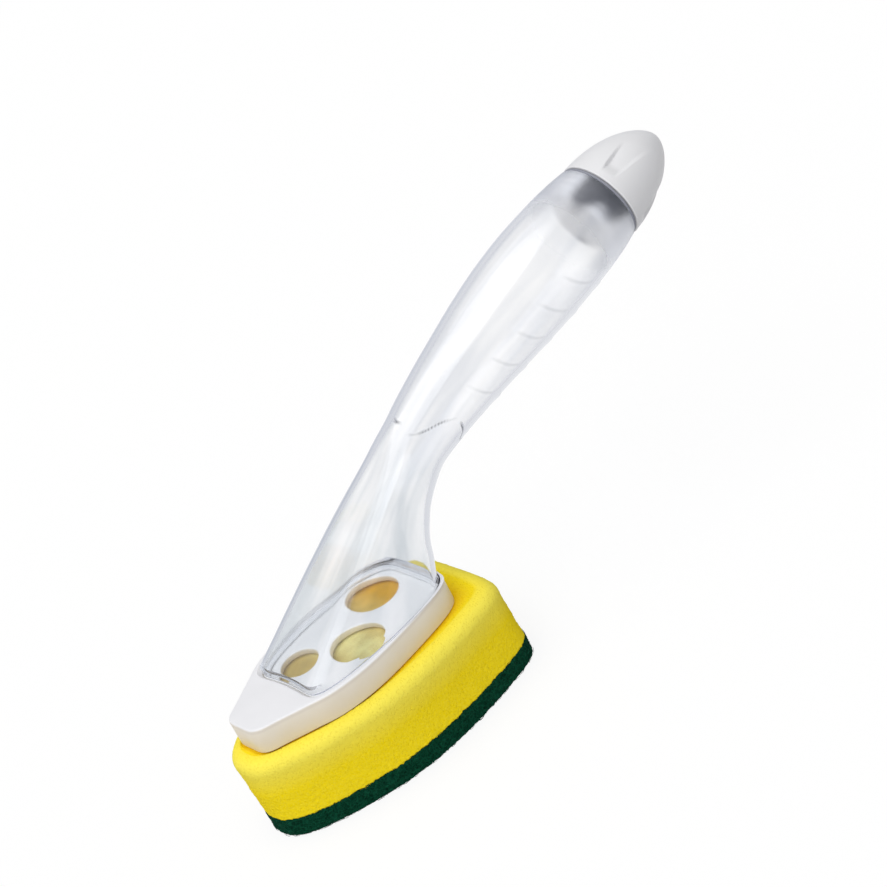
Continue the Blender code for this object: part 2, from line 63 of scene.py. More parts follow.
# Sponge: two layers under the tray
PAD_THICKNESS = PAD_HIGH.z - PAD_LOW.z
PAD_EDGE_ROUND = 0.0010
PAD_TIP_DRAW = 0.0011
FOAM_EDGE_ROUND = 0.0044
FOAM_SIDE_DRAW = 0.0005
FOAM_HEEL_DRAW = 0.0018
FOAM_CREST_RISE = 0.0003
FOAM_CREST_SHARE = 0.55
# Relief share at the middle of the foam's painted crest highlight
FOAM_CREST_RELIEF = 0.72
SPONGE_FRONT_X = FOAM_LOW.x
SPONGE_LENGTH = FOAM_HIGH.x - FOAM_LOW.x
SPONGE_WIDTH = FOAM_HIGH.y - FOAM_LOW.y

# Relief of cut foam and matted pad, and the uneven line between them
FOAM_CELL = 0.0011
FOAM_PIT_SHARE = 0.42
FOAM_PIT_DEPTH = 0.00022
FOAM_WAVE = 0.00022
FOAM_WAVE_LENGTH = 0.010
FOAM_DUST = 0.00010
FOAM_DUST_SIZE = 0.0007
FOAM_LOW_RELIEF = 1.15
FOAM_SIDE_LOSS = 0.35
FOAM_ROUND_RELIEF = 0.8
FOAM_ROUND_LOSS = 0.2
FOAM_TOP_RELIEF = 0.6
FOAM_SEAT_RELIEF = 0.5
FOAM_SEAT_FROM = 0.001
FOAM_SEAT_DROP = 1.5 * SEAT_GAP
FOAM_CENTRE_SHARE = 0.5
FOAM_BASE_SHARES = (0.0, 0.5)
PAD_RELIEF = 0.00030
PAD_LUMP = 0.0012
PAD_LUMP_SHARE = 0.8
PAD_FLUFF = 0.0005
PAD_FLUFF_SHARE = 0.5
PAD_SINK_SHARE = 0.4
PAD_CENTRE_SHARE = 0.8
PAD_FACE_POWER = 1.5
PAD_TOP_SHARES = (0.9, 0.5, 0.0)
EDGE_WANDER = 0.0005
EDGE_WANDER_LENGTH = 0.0035
EDGE_QUICK_LENGTH = EDGE_WANDER_LENGTH / 4
EDGE_QUICK_SHARE = 0.6
EDGE_REACH = 0.003

# Loose strands on the pad's side, twice as thick as real ones, so that they show
FIBRE_COUNT = 4200
FIBRE_LENGTH = 0.0046
FIBRE_SHORTEST_SHARE = 0.35
FIBRE_THICKNESS = 0.00011
FIBRE_SLOPE = 0.55
FIBRE_BOW = 0.0009
FIBRE_STAND = 0.00025
FIBRE_SUNK_SHARE = 0.6
FIBRE_TUCK = 0.0002
FIBRE_LOW = 0.0006
FIBRE_TOP_GAP = 0.0002
FIBRE_OVER = 0.0003
FIBRE_POINTS = 5
FIBRE_SEED = 11

# Tray
TRAY_FRONT_X = TRAY_LOW.x
TRAY_LENGTH = TRAY_HIGH.x - TRAY_LOW.x
TRAY_WIDTH = TRAY_HIGH.y - TRAY_LOW.y
TRAY_BASE_Z = TRAY_LOW.z
RIM_Z = TRAY_HIGH.z
TRAY_WALL = 0.0018
TRAY_FLOOR = 0.0022
TRAY_EDGE_ROUND = 0.0008
POCKET_CHAMFER = 0.0011
POCKET_FLOOR_Z = SEAL_LOW.z - SEAT_GAP
TRAY_CEILING_Z = POCKET_FLOOR_Z - TRAY_FLOOR
HOLE_EDGE_ROUND = 0.0005
SEAL_WIDTH = 0.0022

# Handle
FOOT_LENGTH = 0.0591
FOOT_WIDTH = 0.0400
FOOT_FRONT_BOW = 0.0017
TRAY_TIP_MARGIN = 0.0193
HANDLE_REACH = 0.1498
HANDLE_RISE = 0.05665
GRIP_DIAMETER = 0.0348
HANDLE_WALL = 0.0018
FOOT_WALL = 0.0012

# Painted reflection streaks in the clear wall's colour: drawn on a tube, stretched along the handle,
# greyer in its foot
TUBE_RADIUS = 0.0150
TUBE_STRETCH = 0.16
FOOT_STREAKS_FROM = 0.100
FOOT_STREAKS_TO = 0.130

# Joint of the two clear mouldings, an uneven line
SEAM_DEPTH = 0.0003
SEAM_WIDTH = 0.0017
SEAM_KINK = 0.0030
SEAM_KINK_COUNT = 4
SEAM_KINK_TURN_DEG = 294.0
SEAM_WANDER = 0.0015
SEAM_WANDER_GRAIN = 3.4
SEAM_TILT = 0.0072
SEAM_TILT_TURN_DEG = 17.0
SEAM_DROP = 0.0025
SEAM_PATCH_PEAK = 1.6
SEAM_PATCH_NOISE = 0.9
SEAM_PATCH_GRAIN = 4.0

# Where round the neck the joint shows: turn and spread in degrees, and strength
SEAM_PATCHES = (
    (297.0, 28.0, 1.0),
    (243.0, 20.0, 1.7),
    (352.0, 14.0, 0.42),
)

# Mouth of the handle
MOUTH_WALL = 0.0023
MOUTH_DEPTH = 0.0115
MOUTH_RAMP = 0.0035
MOUTH_EDGE_ROUND = 0.0004
LIP_EDGE_ROUND = 0.0003

# Finger ribs under the grip, each with a fine line of painted shade along its step
RIB_HEIGHT = 0.0003
RIB_STEP = 0.0009
RIB_RUN = 0.0045
RIB_SHADE_SHARE = 0.45
RIB_LINE_TURN_DEG = 186.0
RIB_LINE_SPREAD_DEG = 34.0
RIB_LINE_WANDER = 0.8
RIB_LINE_GRAIN = 2.5
RIB_LINE_STEP = 3.0
RIB_FIRST = 0.0211
RIB_SPACING = 0.0130
RIB_COUNT = 5
RIB_SPREAD_DEG = 62.0

# Screw thread between plug and mouth
THREAD_LEAD = 0.0060
THREAD_STARTS = 2
THREAD_HEIGHT = 0.0005
THREAD_SHOWN_SHARE = 0.4
THREAD_CLEARANCE = 0.0003
THREAD_TOP_DEPTH = 0.0015
THREAD_LENGTH = 0.0066
THREAD_ROOT_SHARE = 0.34
THREAD_FLANK_SHARE = 0.26
THREAD_RUN_OUT_SHARE = 0.25

# Cap, plug and gasket, measured along the mouth's axis from the mouth's rim
CAP_LENGTH = 0.0306
CAP_TAPER_SHARE = 0.04
CAP_NOSE_POWER = 2.1
CAP_FLANK_POWER = 0.60
CAP_SOCKET_DEPTH = 0.0054
CAP_EDGE_ROUND = 0.0005
PLUG_DEPTH = 0.0096
PLUG_WALL = 0.0016
PLUG_COLLAR = 0.0048
PLUG_EDGE_ROUND = 0.0015

# Painted shade on the plug's wall: a dark patch
PLUG_SHADE_TURN_DEG = -120.0
PLUG_SHADE_LOBE_DEG = 50.0
PLUG_SHADE_SPREAD_DEG = 56.0
PLUG_SHADE_SIDE_SHARE = 0.40
PLUG_SHADE_DEPTH = 0.0079
PLUG_SHADE_LOBE_DEPTH = 0.0016
PLUG_SHADE_LEAN = 0.0058
PLUG_SHADE_EDGE = 0.0075

# Gasket under the cap
GASKET_THICKNESS = 0.0008
GASKET_INSET = 0.0003

# Thumb flutes of the cap
FLUTE_COUNT = 4
FLUTE_DEPTH = 0.0015
FLUTE_STEP_SHARE = 0.20
FLUTE_RISE_SHARE = 0.30
FLUTE_SLOPE_SHARE = 0.35
FLUTE_WIDTH = 0.0048
FLUTE_SPLAY = 1.6
FLUTE_TURN_DEG = 41.0
FLUTE_FOOT_SHARE = 0.07
FLUTE_FOOT_RUN_SHARE = 0.16
FLUTE_TIP_SHARE = 0.68
FLUTE_TIP_LEAN_SHARE = 0.06
FLUTE_TIP_RUN_SHARE = 0.45

# Half outlines seen from above, front to rear: share of the length, share of the half width
SPONGE_OUTLINE_SHARES = (
    (0.000, 0.000), (0.004, 0.130), (0.020, 0.265), (0.055, 0.395), (0.104, 0.515), (0.173, 0.650),
    (0.253, 0.775), (0.342, 0.888), (0.460, 0.975), (0.590, 1.000), (0.738, 0.968), (0.856, 0.910),
    (0.936, 0.840), (0.982, 0.700), (0.998, 0.430), (1.000, 0.000),
)
TRAY_OUTLINE_SHARES = (
    (0.000, 0.000), (0.000, 0.180), (0.008, 0.290), (0.034, 0.390), (0.095, 0.505), (0.200, 0.710),
    (0.300, 0.890), (0.420, 0.985), (0.550, 1.000), (0.720, 0.945), (0.870, 0.860), (0.952, 0.740),
    (0.990, 0.540), (1.000, 0.280), (1.000, 0.000),
)

# Soap holes, front to rear: shares of the foot's length and of its half width, and diameter
SOAP_HOLES = (
    (0.198, 0.325, 0.0132),
    (0.452, -0.325, 0.0182),
    (0.773, 0.400, 0.0172),
)
HOLE_BLEND = 0.003

# Stations of the handle from foot to mouth: centre as shares of reach and rise, angle of the
# section, half depth and half breadth as shares of foot or grip, and how square it is
FOOT_STATION_SHARES = (
    (0.0000, 0.0262, 180.0, 0.496, 0.500, 1.00),
    (0.0444, 0.1288, 179.3, 0.430, 0.460, 0.90),
    (0.0978, 0.2435, 174.7, 0.336, 0.415, 0.75),
    (0.1535, 0.3481, 165.8, 0.256, 0.370, 0.58),
    (0.2113, 0.4457, 150.1, 0.195, 0.328, 0.38),
    (0.2691, 0.5292, 130.4, 0.174, 0.298, 0.16),
)
GRIP_STATION_SHARES = (
    (0.3249, 0.6037, 111.0, 0.328, 0.328, 0.00),
    (0.3894, 0.6671, 107.7, 0.350, 0.350, 0.00),
    (0.4669, 0.7275, 105.4, 0.385, 0.385, 0.00),
    (0.5442, 0.7798, 103.8, 0.420, 0.420, 0.00),
    (0.6250, 0.8301, 102.4, 0.457, 0.457, 0.00),
    (0.7084, 0.8754, 100.9, 0.486, 0.486, 0.00),
    (0.7964, 0.9166, 99.5, 0.500, 0.500, 0.00),
    (0.8879, 0.9549, 98.9, 0.489, 0.489, 0.00),
    (0.9546, 0.9810, 98.8, 0.467, 0.467, 0.00),
    (1.0000, 1.0000, 98.8, 0.438, 0.438, 0.00),
)
SEAM_STATION = 7
SQUAREST_POWER = 8.0
ROUNDEST_POWER = 2.0
FOOT_FRONT_NARROW_SHARE = 0.19
FOOT_REAR_NARROW_SHARE = 0.15

# How finely the surfaces are drawn
HANDLE_FACETS = 128
TURNED_FACETS = 128
CAP_FACETS = 480
HOLE_FACETS = 96
SPONGE_FACETS = 720
TRAY_FACETS = 240
FINE_ROW = 0.0005
SEAM_ROW = 0.00015
FOOT_ROW = 0.0008
COARSE_ROW = 0.0015
THREAD_ROW = 0.0002
FOAM_ROW = 0.00036
SMOOTH_ANGLE_DEG = 38.0
ROUND_STEPS = 4
PLUG_ROUND_STEPS = 6
PAD_ROUND_STEPS = 5
CAP_ROWS = 96
FOAM_ROUND_ROWS = 12
FOAM_TOP_ROWS = 14
FOAM_SEAT_ROWS = 21
PAD_FACE_ROWS = 22
OUTLINE_STEPS = 24
CENTRELINE_STEPS = 40

# Scuffs on the clear wall, from clear to fully scuffed, back from the mouth
SCUFFS_FROM = 2.1 * MOUTH_DEPTH
SCUFFS_TO = 0.9 * MOUTH_DEPTH
SCUFFED_ROUGHNESS = 0.34

# Sizes of the materials' patterns
MOULD_WAVE = 0.014
WIPE_MARK = 0.006
REFLECTION_STREAK = 0.008
MOULD_GRAIN = 0.0006
PLUG_GRAIN = 0.0008
CAP_CLOUD = 0.011
TRAY_CLOUD = 0.009
# Wander of the edge of the tray's painted bounce light
PAINTED_BOUNCE_WANDER = 0.0010
RUBBER_BLOOM = 0.0011
SILICONE_BLOOM = 0.0016
DRAWN_CELL = 0.0008
DRAWN_DUST = 0.0005
# Patches in the painted shade of the foam in the tray's holes
HOLE_SHADE_PATCH = 0.006
STRAND_BEND = 0.0035
STRAND_SHIFT = 0.0016
STRAND_SPACING = 0.0012
DRAWN_FLUFF = 0.0007

# Range that most of a noise lies in
NOISE_SPAN = {"From Min": 0.3, "From Max": 0.7}

# Levels and places that follow from the sizes above
FOOT_FRONT_X = TRAY_FRONT_X + TRAY_TIP_MARGIN
FOOT_CENTRE_X = FOOT_FRONT_X + FOOT_LENGTH / 2
HOLE_X = [FOOT_FRONT_X + along * FOOT_LENGTH for along, _, _ in SOAP_HOLES]
FOOT_BASE_Z = FOOT_LOW.z
MOUTH_RADIUS = GRIP_DIAMETER * GRIP_STATION_SHARES[-1][3]
BORE_RADIUS = MOUTH_RADIUS - MOUTH_WALL
PLUG_RADIUS = BORE_RADIUS - THREAD_HEIGHT - THREAD_CLEARANCE
THREAD_PITCH = THREAD_LEAD / THREAD_STARTS
CAP_RIM = GASKET_THICKNESS + 2 * SEAT_GAP
MOUTH_TILT = math.radians(GRIP_STATION_SHARES[-1][2] - 90)

# Camera of the photograph
CAMERA_AZIMUTH_DEG = -27.13
CAMERA_ELEVATION_DEG = 29.57
CAMERA_ROLL_DEG = -27.63
CAMERA_DISTANCE = 0.8926
CAMERA_AIM = Vector((0.05312, -0.02278, 0.08285))
SENSOR_WIDTH_MM = 36.0
LENS_MM = 117.7
CLIP_START = 0.01
CLIP_END = 20.0

# Lamps, surroundings and table
WORLD_LIGHT = 0.42
KEY_STRENGTH = 1.46
KEY_DIRECTION = Vector((-0.24, -0.04, 0.96))
KEY_SPREAD_DEG = 64.0
FILL_STRENGTH = 0.88
FILL_DIRECTION = Vector((-0.62, -0.66, 0.42))
FILL_SPREAD_DEG = 50.0
FLOOR_SIZE = 6.0
FLOOR_SHADOW_SHARE = 0.14
NEAR_TABLE = 0.35
FAR_TABLE = 1.2
DIM_SURROUNDINGS = "#dcdfe7"


# Curves and outlines

def held(value, low=0.0, high=1.0):
    """A value held between two others."""
    return min(high, max(low, value))


def eased(share):
    """A share from 0 to 1 that sets out and ends softly."""
    return share * share * (3 - 2 * share)


def catmull_rom(rows, t):
    """Row of values at place t on a smooth curve through the rows."""
    last = len(rows) - 1
    i = min(int(t), last - 1)
    f = t - i
    before = rows[max(i - 1, 0)]
    after = rows[min(i + 2, last)]
    values = []
    for a, b, c, d in zip(before, rows[i], rows[i + 1], after):
        slope_in = (c - a) / 2
        slope_out = (d - b) / 2
        rise = c - b
        values.append(
            b + slope_in * f + (3 * rise - 2 * slope_in - slope_out) * f**2
            + (slope_in + slope_out - 2 * rise) * f**3
        )
    return values


def even_steps(table, length, width, count):
    """Places along a half outline's table, from 0 to 1, that lie evenly along its edge."""
    fine = OUTLINE_STEPS * len(table)
    last = len(table) - 1
    lengths = [0.0]
    before = None
    for i in range(fine + 1):
        along, across = catmull_rom(table, i / fine * last)
        place = Vector((along * length, across * width / 2))
        if before is not None:
            lengths.append(lengths[-1] + (place - before).length)
        before = place
    steps = []
    i = 0
    for k in range(count + 1):
        wanted = lengths[-1] * k / count
        while i < fine - 1 and lengths[i + 1] < wanted:
            i += 1
        part = (wanted - lengths[i]) / (lengths[i + 1] - lengths[i])
        steps.append(min(1.0, (i + part) / fine))
    return steps


def plan_outline(table, steps, front_x, length, width, inset=0.0):
    """Closed outline seen from above, drawn in from its edge by inset."""
    there = []
    for step in steps:
        along, across = catmull_rom(table, step * (len(table) - 1))
        there.append(Vector((front_x + along * length, across * width / 2)))
    there[0].y = there[-1].y = 0.0
    places = there + [Vector((p.x, -p.y)) for p in reversed(there[1:-1])]
    if not inset:
        return places
    count = len(places)
    drawn_in = []
    for i, place in enumerate(places):
        tangent = places[(i + 1) % count] - places[i - 1]
        inward = Vector((tangent.y, -tangent.x)).normalized()
        drawn_in.append(place + inward * inset)
    return drawn_in


SPONGE_STEPS = even_steps(SPONGE_OUTLINE_SHARES, SPONGE_LENGTH, SPONGE_WIDTH, SPONGE_FACETS // 2)
TRAY_STEPS = even_steps(TRAY_OUTLINE_SHARES, TRAY_LENGTH, TRAY_WIDTH, TRAY_FACETS // 2)


def sponge_outline(inset=0.0, tip_draw=0.0, heel_draw=0.0):
    front_x = SPONGE_FRONT_X + tip_draw
    length = SPONGE_LENGTH - tip_draw - heel_draw
    return plan_outline(SPONGE_OUTLINE_SHARES, SPONGE_STEPS, front_x, length, SPONGE_WIDTH, inset)


def tray_outline(inset=0.0, steps=TRAY_STEPS):
    return plan_outline(TRAY_OUTLINE_SHARES, steps, TRAY_FRONT_X, TRAY_LENGTH, TRAY_WIDTH, inset)


def at_level(outline, z):
    return [Vector((x, y, z)) for x, y in outline]


def steps_between(low, high, row):
    """Places from low to high, both included, no more than row apart."""
    count = max(1, math.ceil(abs(high - low) / row))
    return [low + (high - low) * i / count for i in range(count + 1)]


def quarter_turns(steps=ROUND_STEPS):
    """Angles from 0 to a quarter turn, both included."""
    return [math.pi / 2 * i / steps for i in range(steps + 1)]


def rounded(size, steps=ROUND_STEPS):
    """Steps round an edge from its side to its face: how far in, and how far short of the face."""
    turns = quarter_turns(steps)
    return [(size * (1 - math.cos(turn)), size * (1 - math.sin(turn))) for turn in turns]


def broken_edges(inner, outer, low, high):
    """Closed section of a flat ring, its edges broken by a quarter of its thickness."""
    edge = (high - low) / 4
    return (
        (inner + edge, low), (outer - edge, low), (outer, low + edge), (outer, high - edge),
        (outer - edge, high), (inner + edge, high), (inner, high - edge), (inner, low + edge),
    )


# Sections of the handle

def handle_stations():
    """Centre x and z, section angle, half depth, half breadth and squareness of each station."""
    stations = []
    for along, rise, angle, depth, breadth, square in FOOT_STATION_SHARES:
        stations.append((along, rise, angle, depth * FOOT_LENGTH, breadth * FOOT_WIDTH, square))
    for along, rise, angle, depth, breadth, square in GRIP_STATION_SHARES:
        stations.append((along, rise, angle, depth * GRIP_DIAMETER, breadth * GRIP_DIAMETER, square))
    return [
        (FOOT_CENTRE_X + along * HANDLE_REACH, RIM_Z + rise * HANDLE_RISE, *rest)
        for along, rise, *rest in stations
    ]


STATIONS = handle_stations()
MOUTH_STATION = len(STATIONS) - 1
MOUTH_CENTRE = Vector((STATIONS[-1][0], 0, STATIONS[-1][1]))
MOUTH_AXIS = Vector((math.cos(MOUTH_TILT), 0, math.sin(MOUTH_TILT)))


def section_ring(t, inset=0.0):
    """Closed section of the handle at station t. An inset may be a function of the turn."""
    x, z, angle, depth, breadth, square = catmull_rom(STATIONS, t)
    power = ROUNDEST_POWER + square * (SQUAREST_POWER - ROUNDEST_POWER)
    forward = Vector((math.cos(math.radians(angle)), 0, math.sin(math.radians(angle))))
    ring = []
    for i in range(HANDLE_FACETS):
        turn = 2 * math.pi * i / HANDLE_FACETS
        size = (abs(math.cos(turn)) ** power + abs(math.sin(turn)) ** power) ** (-1 / power)
        drawn_in = inset(turn) if callable(inset) else inset
        u = size * math.cos(turn)
        v = size * math.sin(turn)
        narrow = FOOT_FRONT_NARROW_SHARE if u > 0 else FOOT_REAR_NARROW_SHARE
        across = (breadth - drawn_in) * v * (1 - square * narrow * u * u)
        along = (depth - drawn_in) * u - square * FOOT_FRONT_BOW * max(u, 0) * (1 - v * v)
        ring.append(Vector((x, 0, z)) + forward * along + Vector((0, across, 0)))
    return ring


def foot_outline(inset=0.0):
    return [Vector((place.x, place.y)) for place in section_ring(0, inset)]


def lengths_back():
    """Length of the centreline back from the mouth, at fine steps of the stations."""
    rows = [(float(MOUTH_STATION), 0.0)]
    steps = CENTRELINE_STEPS * MOUTH_STATION
    before = MOUTH_CENTRE
    length = 0.0
    for i in range(1, steps + 1):
        t = MOUTH_STATION * (1 - i / steps)
        x, z = catmull_rom(STATIONS, t)[:2]
        place = Vector((x, 0, z))
        length += (place - before).length
        before = place
        rows.append((t, length))
    return rows


LENGTHS_BACK = lengths_back()


def station_at(length):
    """Station whose centre lies the given length back from the mouth."""
    for (t0, l0), (t1, l1) in zip(LENGTHS_BACK, LENGTHS_BACK[1:]):
        if l1 >= length:
            return t0 + (t1 - t0) * (length - l0) / (l1 - l0)
    return 0.0


def length_at(station):
    """Length back from the mouth of a station."""
    for (t0, l0), (t1, l1) in zip(LENGTHS_BACK, LENGTHS_BACK[1:]):
        if t1 <= station:
            return l0 + (l1 - l0) * (t0 - station) / (t0 - t1)
    return LENGTHS_BACK[-1][1]


# Rings round the mouth's axis

def turned_ring(radius, height, facets=TURNED_FACETS):
    """Circle round local Z. A radius may be a number or a function of the angle."""
    ring = []
    for i in range(facets):
        angle = 2 * math.pi * i / facets
        r = radius(angle) if callable(radius) else radius
        ring.append(Vector((r * math.cos(angle), r * math.sin(angle), height)))
    return ring


def mouth_ring(radius, height):
    """Circle round the mouth's axis, placed in the world, in step with the handle's sections."""
    ring = []
    up = Vector((-MOUTH_AXIS.z, 0, MOUTH_AXIS.x))
    for i in range(HANDLE_FACETS):
        angle = 2 * math.pi * i / HANDLE_FACETS
        r = radius(math.pi - angle) if callable(radius) else radius
        across = Vector((0, r * math.sin(angle), 0))
        ring.append(MOUTH_CENTRE + MOUTH_AXIS * height + up * (r * math.cos(angle)) + across)
    return ring


def mouth_matrix():
    """Local Z on the mouth's axis, origin at the centre of its rim."""
    turn = Matrix.Rotation(math.pi / 2 - MOUTH_TILT, 4, "Y")
    return Matrix.Translation(MOUTH_CENTRE) @ turn


def thread_profile(place):
    """Share of the thread's height at a place along one pitch, ridge centred on zero."""
    from_ridge = abs((place / THREAD_PITCH + 1 / 2) % 1 - 1 / 2)
    return eased(held((THREAD_ROOT_SHARE - from_ridge) / THREAD_FLANK_SHARE))


def threaded_radius(root, height, place, phase):
    """Radius function of a ring at a place along the thread, counted down from its top."""
    depth = -place - THREAD_TOP_DEPTH
    from_end = min(depth, THREAD_LENGTH - depth)
    fade = held(from_end / (THREAD_PITCH * THREAD_RUN_OUT_SHARE))

    def radius(angle):
        along = place - THREAD_LEAD * angle / (2 * math.pi) + phase
        return root + height * THREAD_SHOWN_SHARE * thread_profile(along) * fade

    return radius


def thread_places():
    """Heights of the rings that carry the thread, from the deepest up."""
    return steps_between(-THREAD_TOP_DEPTH - THREAD_LENGTH, -THREAD_TOP_DEPTH, THREAD_ROW)


# Skins

def skin(rings, closed=False, reliefs=None, lengths=None):
    """Skins rings of places: a grid with a column to each place, joined along its seam. Closed
    joins the last ring to the first. A relief is a share that each ring's places keep, and a
    length is how far along the piece each ring lies, for the tube that carries the painted streaks."""
    rows = [*rings, rings[0]] if closed else rings
    if closed and reliefs:
        reliefs = [*reliefs, reliefs[0]]
    if closed and lengths:
        lengths = [*lengths, lengths[0]]
    around = len(rings[0])
    bm = bmesh.new()
    share = bm.verts.layers.float.new("relief")
    tube_place = bm.verts.layers.float_vector.new("tube_place")
    bmesh.ops.create_grid(bm, x_segments=around, y_segments=len(rows) - 1)
    bm.verts.ensure_lookup_table()
    for i, vert in enumerate(bm.verts):
        row, column = divmod(i, around + 1)
        vert.co = rows[row][column % around]
        if reliefs:
            vert[share] = reliefs[row]
        if lengths:
            turn = 2 * math.pi * column / around
            across = Vector((math.cos(turn), math.sin(turn), 0.0)) * TUBE_RADIUS
            vert[tube_place] = across + Vector((0.0, 0.0, lengths[row] * TUBE_STRETCH))
    bmesh.ops.remove_doubles(bm, verts=bm.verts[:], dist=MERGE_DISTANCE)
    return bm


def cap_ends(bm):
    """Closes each open end with one flat face."""
    bmesh.ops.holes_fill(bm, edges=[e for e in bm.edges if e.is_boundary], sides=0)


def linked(name, data):
    """A new object in the scene."""
    obj = bpy.data.objects.new(name, data)
    bpy.context.scene.collection.objects.link(obj)
    return obj


def finish_piece(name, bm, material, matrix=None, sharp_deg=SMOOTH_ANGLE_DEG):
    """Makes a mesh object of a closed skin, with its place in its mesh."""
    if matrix is not None:
        bmesh.ops.transform(bm, matrix=matrix, verts=bm.verts[:])
    bmesh.ops.recalc_face_normals(bm, faces=bm.faces[:])
    mesh = bpy.data.meshes.new(name)
    bm.to_mesh(mesh)
    bm.free()
    mesh.materials.append(material)
    mesh.shade_smooth()
    if sharp_deg:
        mesh.set_sharp_from_angle(angle=math.radians(sharp_deg))
    return linked(name, mesh)


def show(obj, body, slot, *replaced):
    """Hands a finished piece to the frame."""
    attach(obj, body)
    if replaced:
        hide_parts(*replaced)
    return obj


# Material helpers

def linear(hex_colour):
    """Linear RGBA of an sRGB hex colour."""
    channels = [int(hex_colour[i : i + 2], 16) / 255 for i in (1, 3, 5)]
    return [c / 12.92 if c <= 0.04045 else ((c + 0.055) / 1.055) ** 2.4 for c in channels] + [1.0]


def add(tree, kind, inputs=None, **settings):
    """Adds a shader node and hands back its outputs. Sets its properties, and sets or links its
    inputs by name or number. A colour is written as sRGB hex. A Mix of colours has them at
    inputs 6 and 7, and its result at output 2."""
    made = tree.nodes.new("ShaderNode" + kind)
    for name, value in settings.items():
        setattr(made, name, value)
    for key, value in (inputs or {}).items():
        if isinstance(value, bpy.types.NodeSocket):
            tree.links.new(value, made.inputs[key])
        else:
            made.inputs[key].default_value = linear(value) if isinstance(value, str) else value
    return made.outputs


def new_tree(name):
    """A material with an empty node tree, and its object coordinates."""
    material = bpy.data.materials.new(name)
    material.use_nodes = True
    tree = material.node_tree
    tree.nodes.clear()
    return material, tree, add(tree, "TexCoord")["Object"]


# Materials

def clear_styrene(name="clear_moulded_styrene"):
    """Clear styrene copolymer, injection moulded and polished: glass-like, with the slow waves of a
    moulded wall, painted reflection streaks in its colour, scuffed near the mouth, and with a faint
    grey-blue body colour that deepens where a wall is seen edge on. Light once mirrored inside a
    wall leaves it straight, so that no wall traps light and goes black."""
    material, tree, place = new_tree(name)
    waves = add(tree, "TexNoise", {"Vector": place, "Scale": 1 / MOULD_WAVE, "Detail": 1.0})["Fac"]
    wiped = add(tree, "TexNoise", {"Vector": place, "Scale": 1 / WIPE_MARK, "Detail": 3.0})["Fac"]
    # Painted reflection: white streaks in the wall's base colour, over a grey tint that is greyer in the
    # foot.
    tube_place = add(tree, "Attribute", attribute_name="tube_place")["Vector"]
    streak_noise = add(tree, "TexNoise", {"Vector": tube_place, "Scale": 1 / REFLECTION_STREAK, "Detail": 2.0})["Fac"]
    painted_streaks = add(tree, "MapRange", {"Value": streak_noise, "From Min": 0.40, "From Max": 0.58})["Result"]
    along = add(tree, "SeparateXYZ", {"Vector": tube_place})["Z"]
    into_foot = add(tree, "MapRange", {
        "Value": along,
        "From Min": FOOT_STREAKS_FROM * TUBE_STRETCH,
        "From Max": FOOT_STREAKS_TO * TUBE_STRETCH,
    })["Result"]
    hazy = add(tree, "Mix", {"Factor": into_foot, 6: "#f4f5f7", 7: "#ebeef0"}, data_type="RGBA")[2]
    painted_streaked = add(tree, "Mix", {"Factor": painted_streaks, 6: hazy, 7: "#ffffff"}, data_type="RGBA")[2]
    # Dark #3c3f48 on the joint's line, and as painted shade along the ribs' steps.
    joint = add(tree, "Attribute", attribute_name="joint")["Fac"]
    colour = add(tree, "Mix", {"Factor": joint, 6: painted_streaked, 7: "#3c3f48"}, data_type="RGBA")[2]
    from_mouth = add(tree, "VectorMath", {0: place, 1: MOUTH_CENTRE}, operation="SUBTRACT")[0]
    height = add(tree, "VectorMath", {0: from_mouth, 1: MOUTH_AXIS}, operation="DOT_PRODUCT")["Value"]
    scuffs = add(tree, "MapRange", {
        "Value": height,
        "From Min": -SCUFFS_FROM,
        "From Max": -SCUFFS_TO,
        "To Max": SCUFFED_ROUGHNESS,
    })["Result"]
    polish = add(tree, "MapRange", {"Value": wiped, **NOISE_SPAN, "To Min": 0.050, "To Max": 0.085})
    shader = add(tree, "BsdfPrincipled", {
        "Base Color": colour,
        "Roughness": add(tree, "Math", {0: scuffs, 1: polish["Result"]}, operation="ADD")[0],
        "IOR": 1.50,
        "Transmission Weight": 1.0,
        "Normal": add(tree, "Bump", {"Height": waves, "Distance": 0.0004, "Strength": 0.35})["Normal"],
    })["BSDF"]
    path = add(tree, "LightPath")
    off_matt = add(tree, "MapRange", {"Value": path["Diffuse Depth"]})["Result"]
    tint = add(tree, "Mix", {"Factor": off_matt, 6: "#dadce2", 7: "#ffffff"}, data_type="RGBA")[2]
    let_out = add(tree, "BsdfTransparent", {"Color": tint})["BSDF"]
    let_by = add(tree, "BsdfTransparent", {"Color": "#f2f4f8"})["BSDF"]
    surface = add(tree, "MixShader", {0: path["Is Reflection Ray"], 1: shader, 2: let_out})[0]
    surface = add(tree, "MixShader", {0: path["Is Shadow Ray"], 1: surface, 2: let_by})[0]
    body = add(tree, "VolumeAbsorption", {"Color": "#e6e8ed", "Density": 24.0})["Volume"]
    add(tree, "OutputMaterial", {"Surface": surface, "Volume": body})
    return material


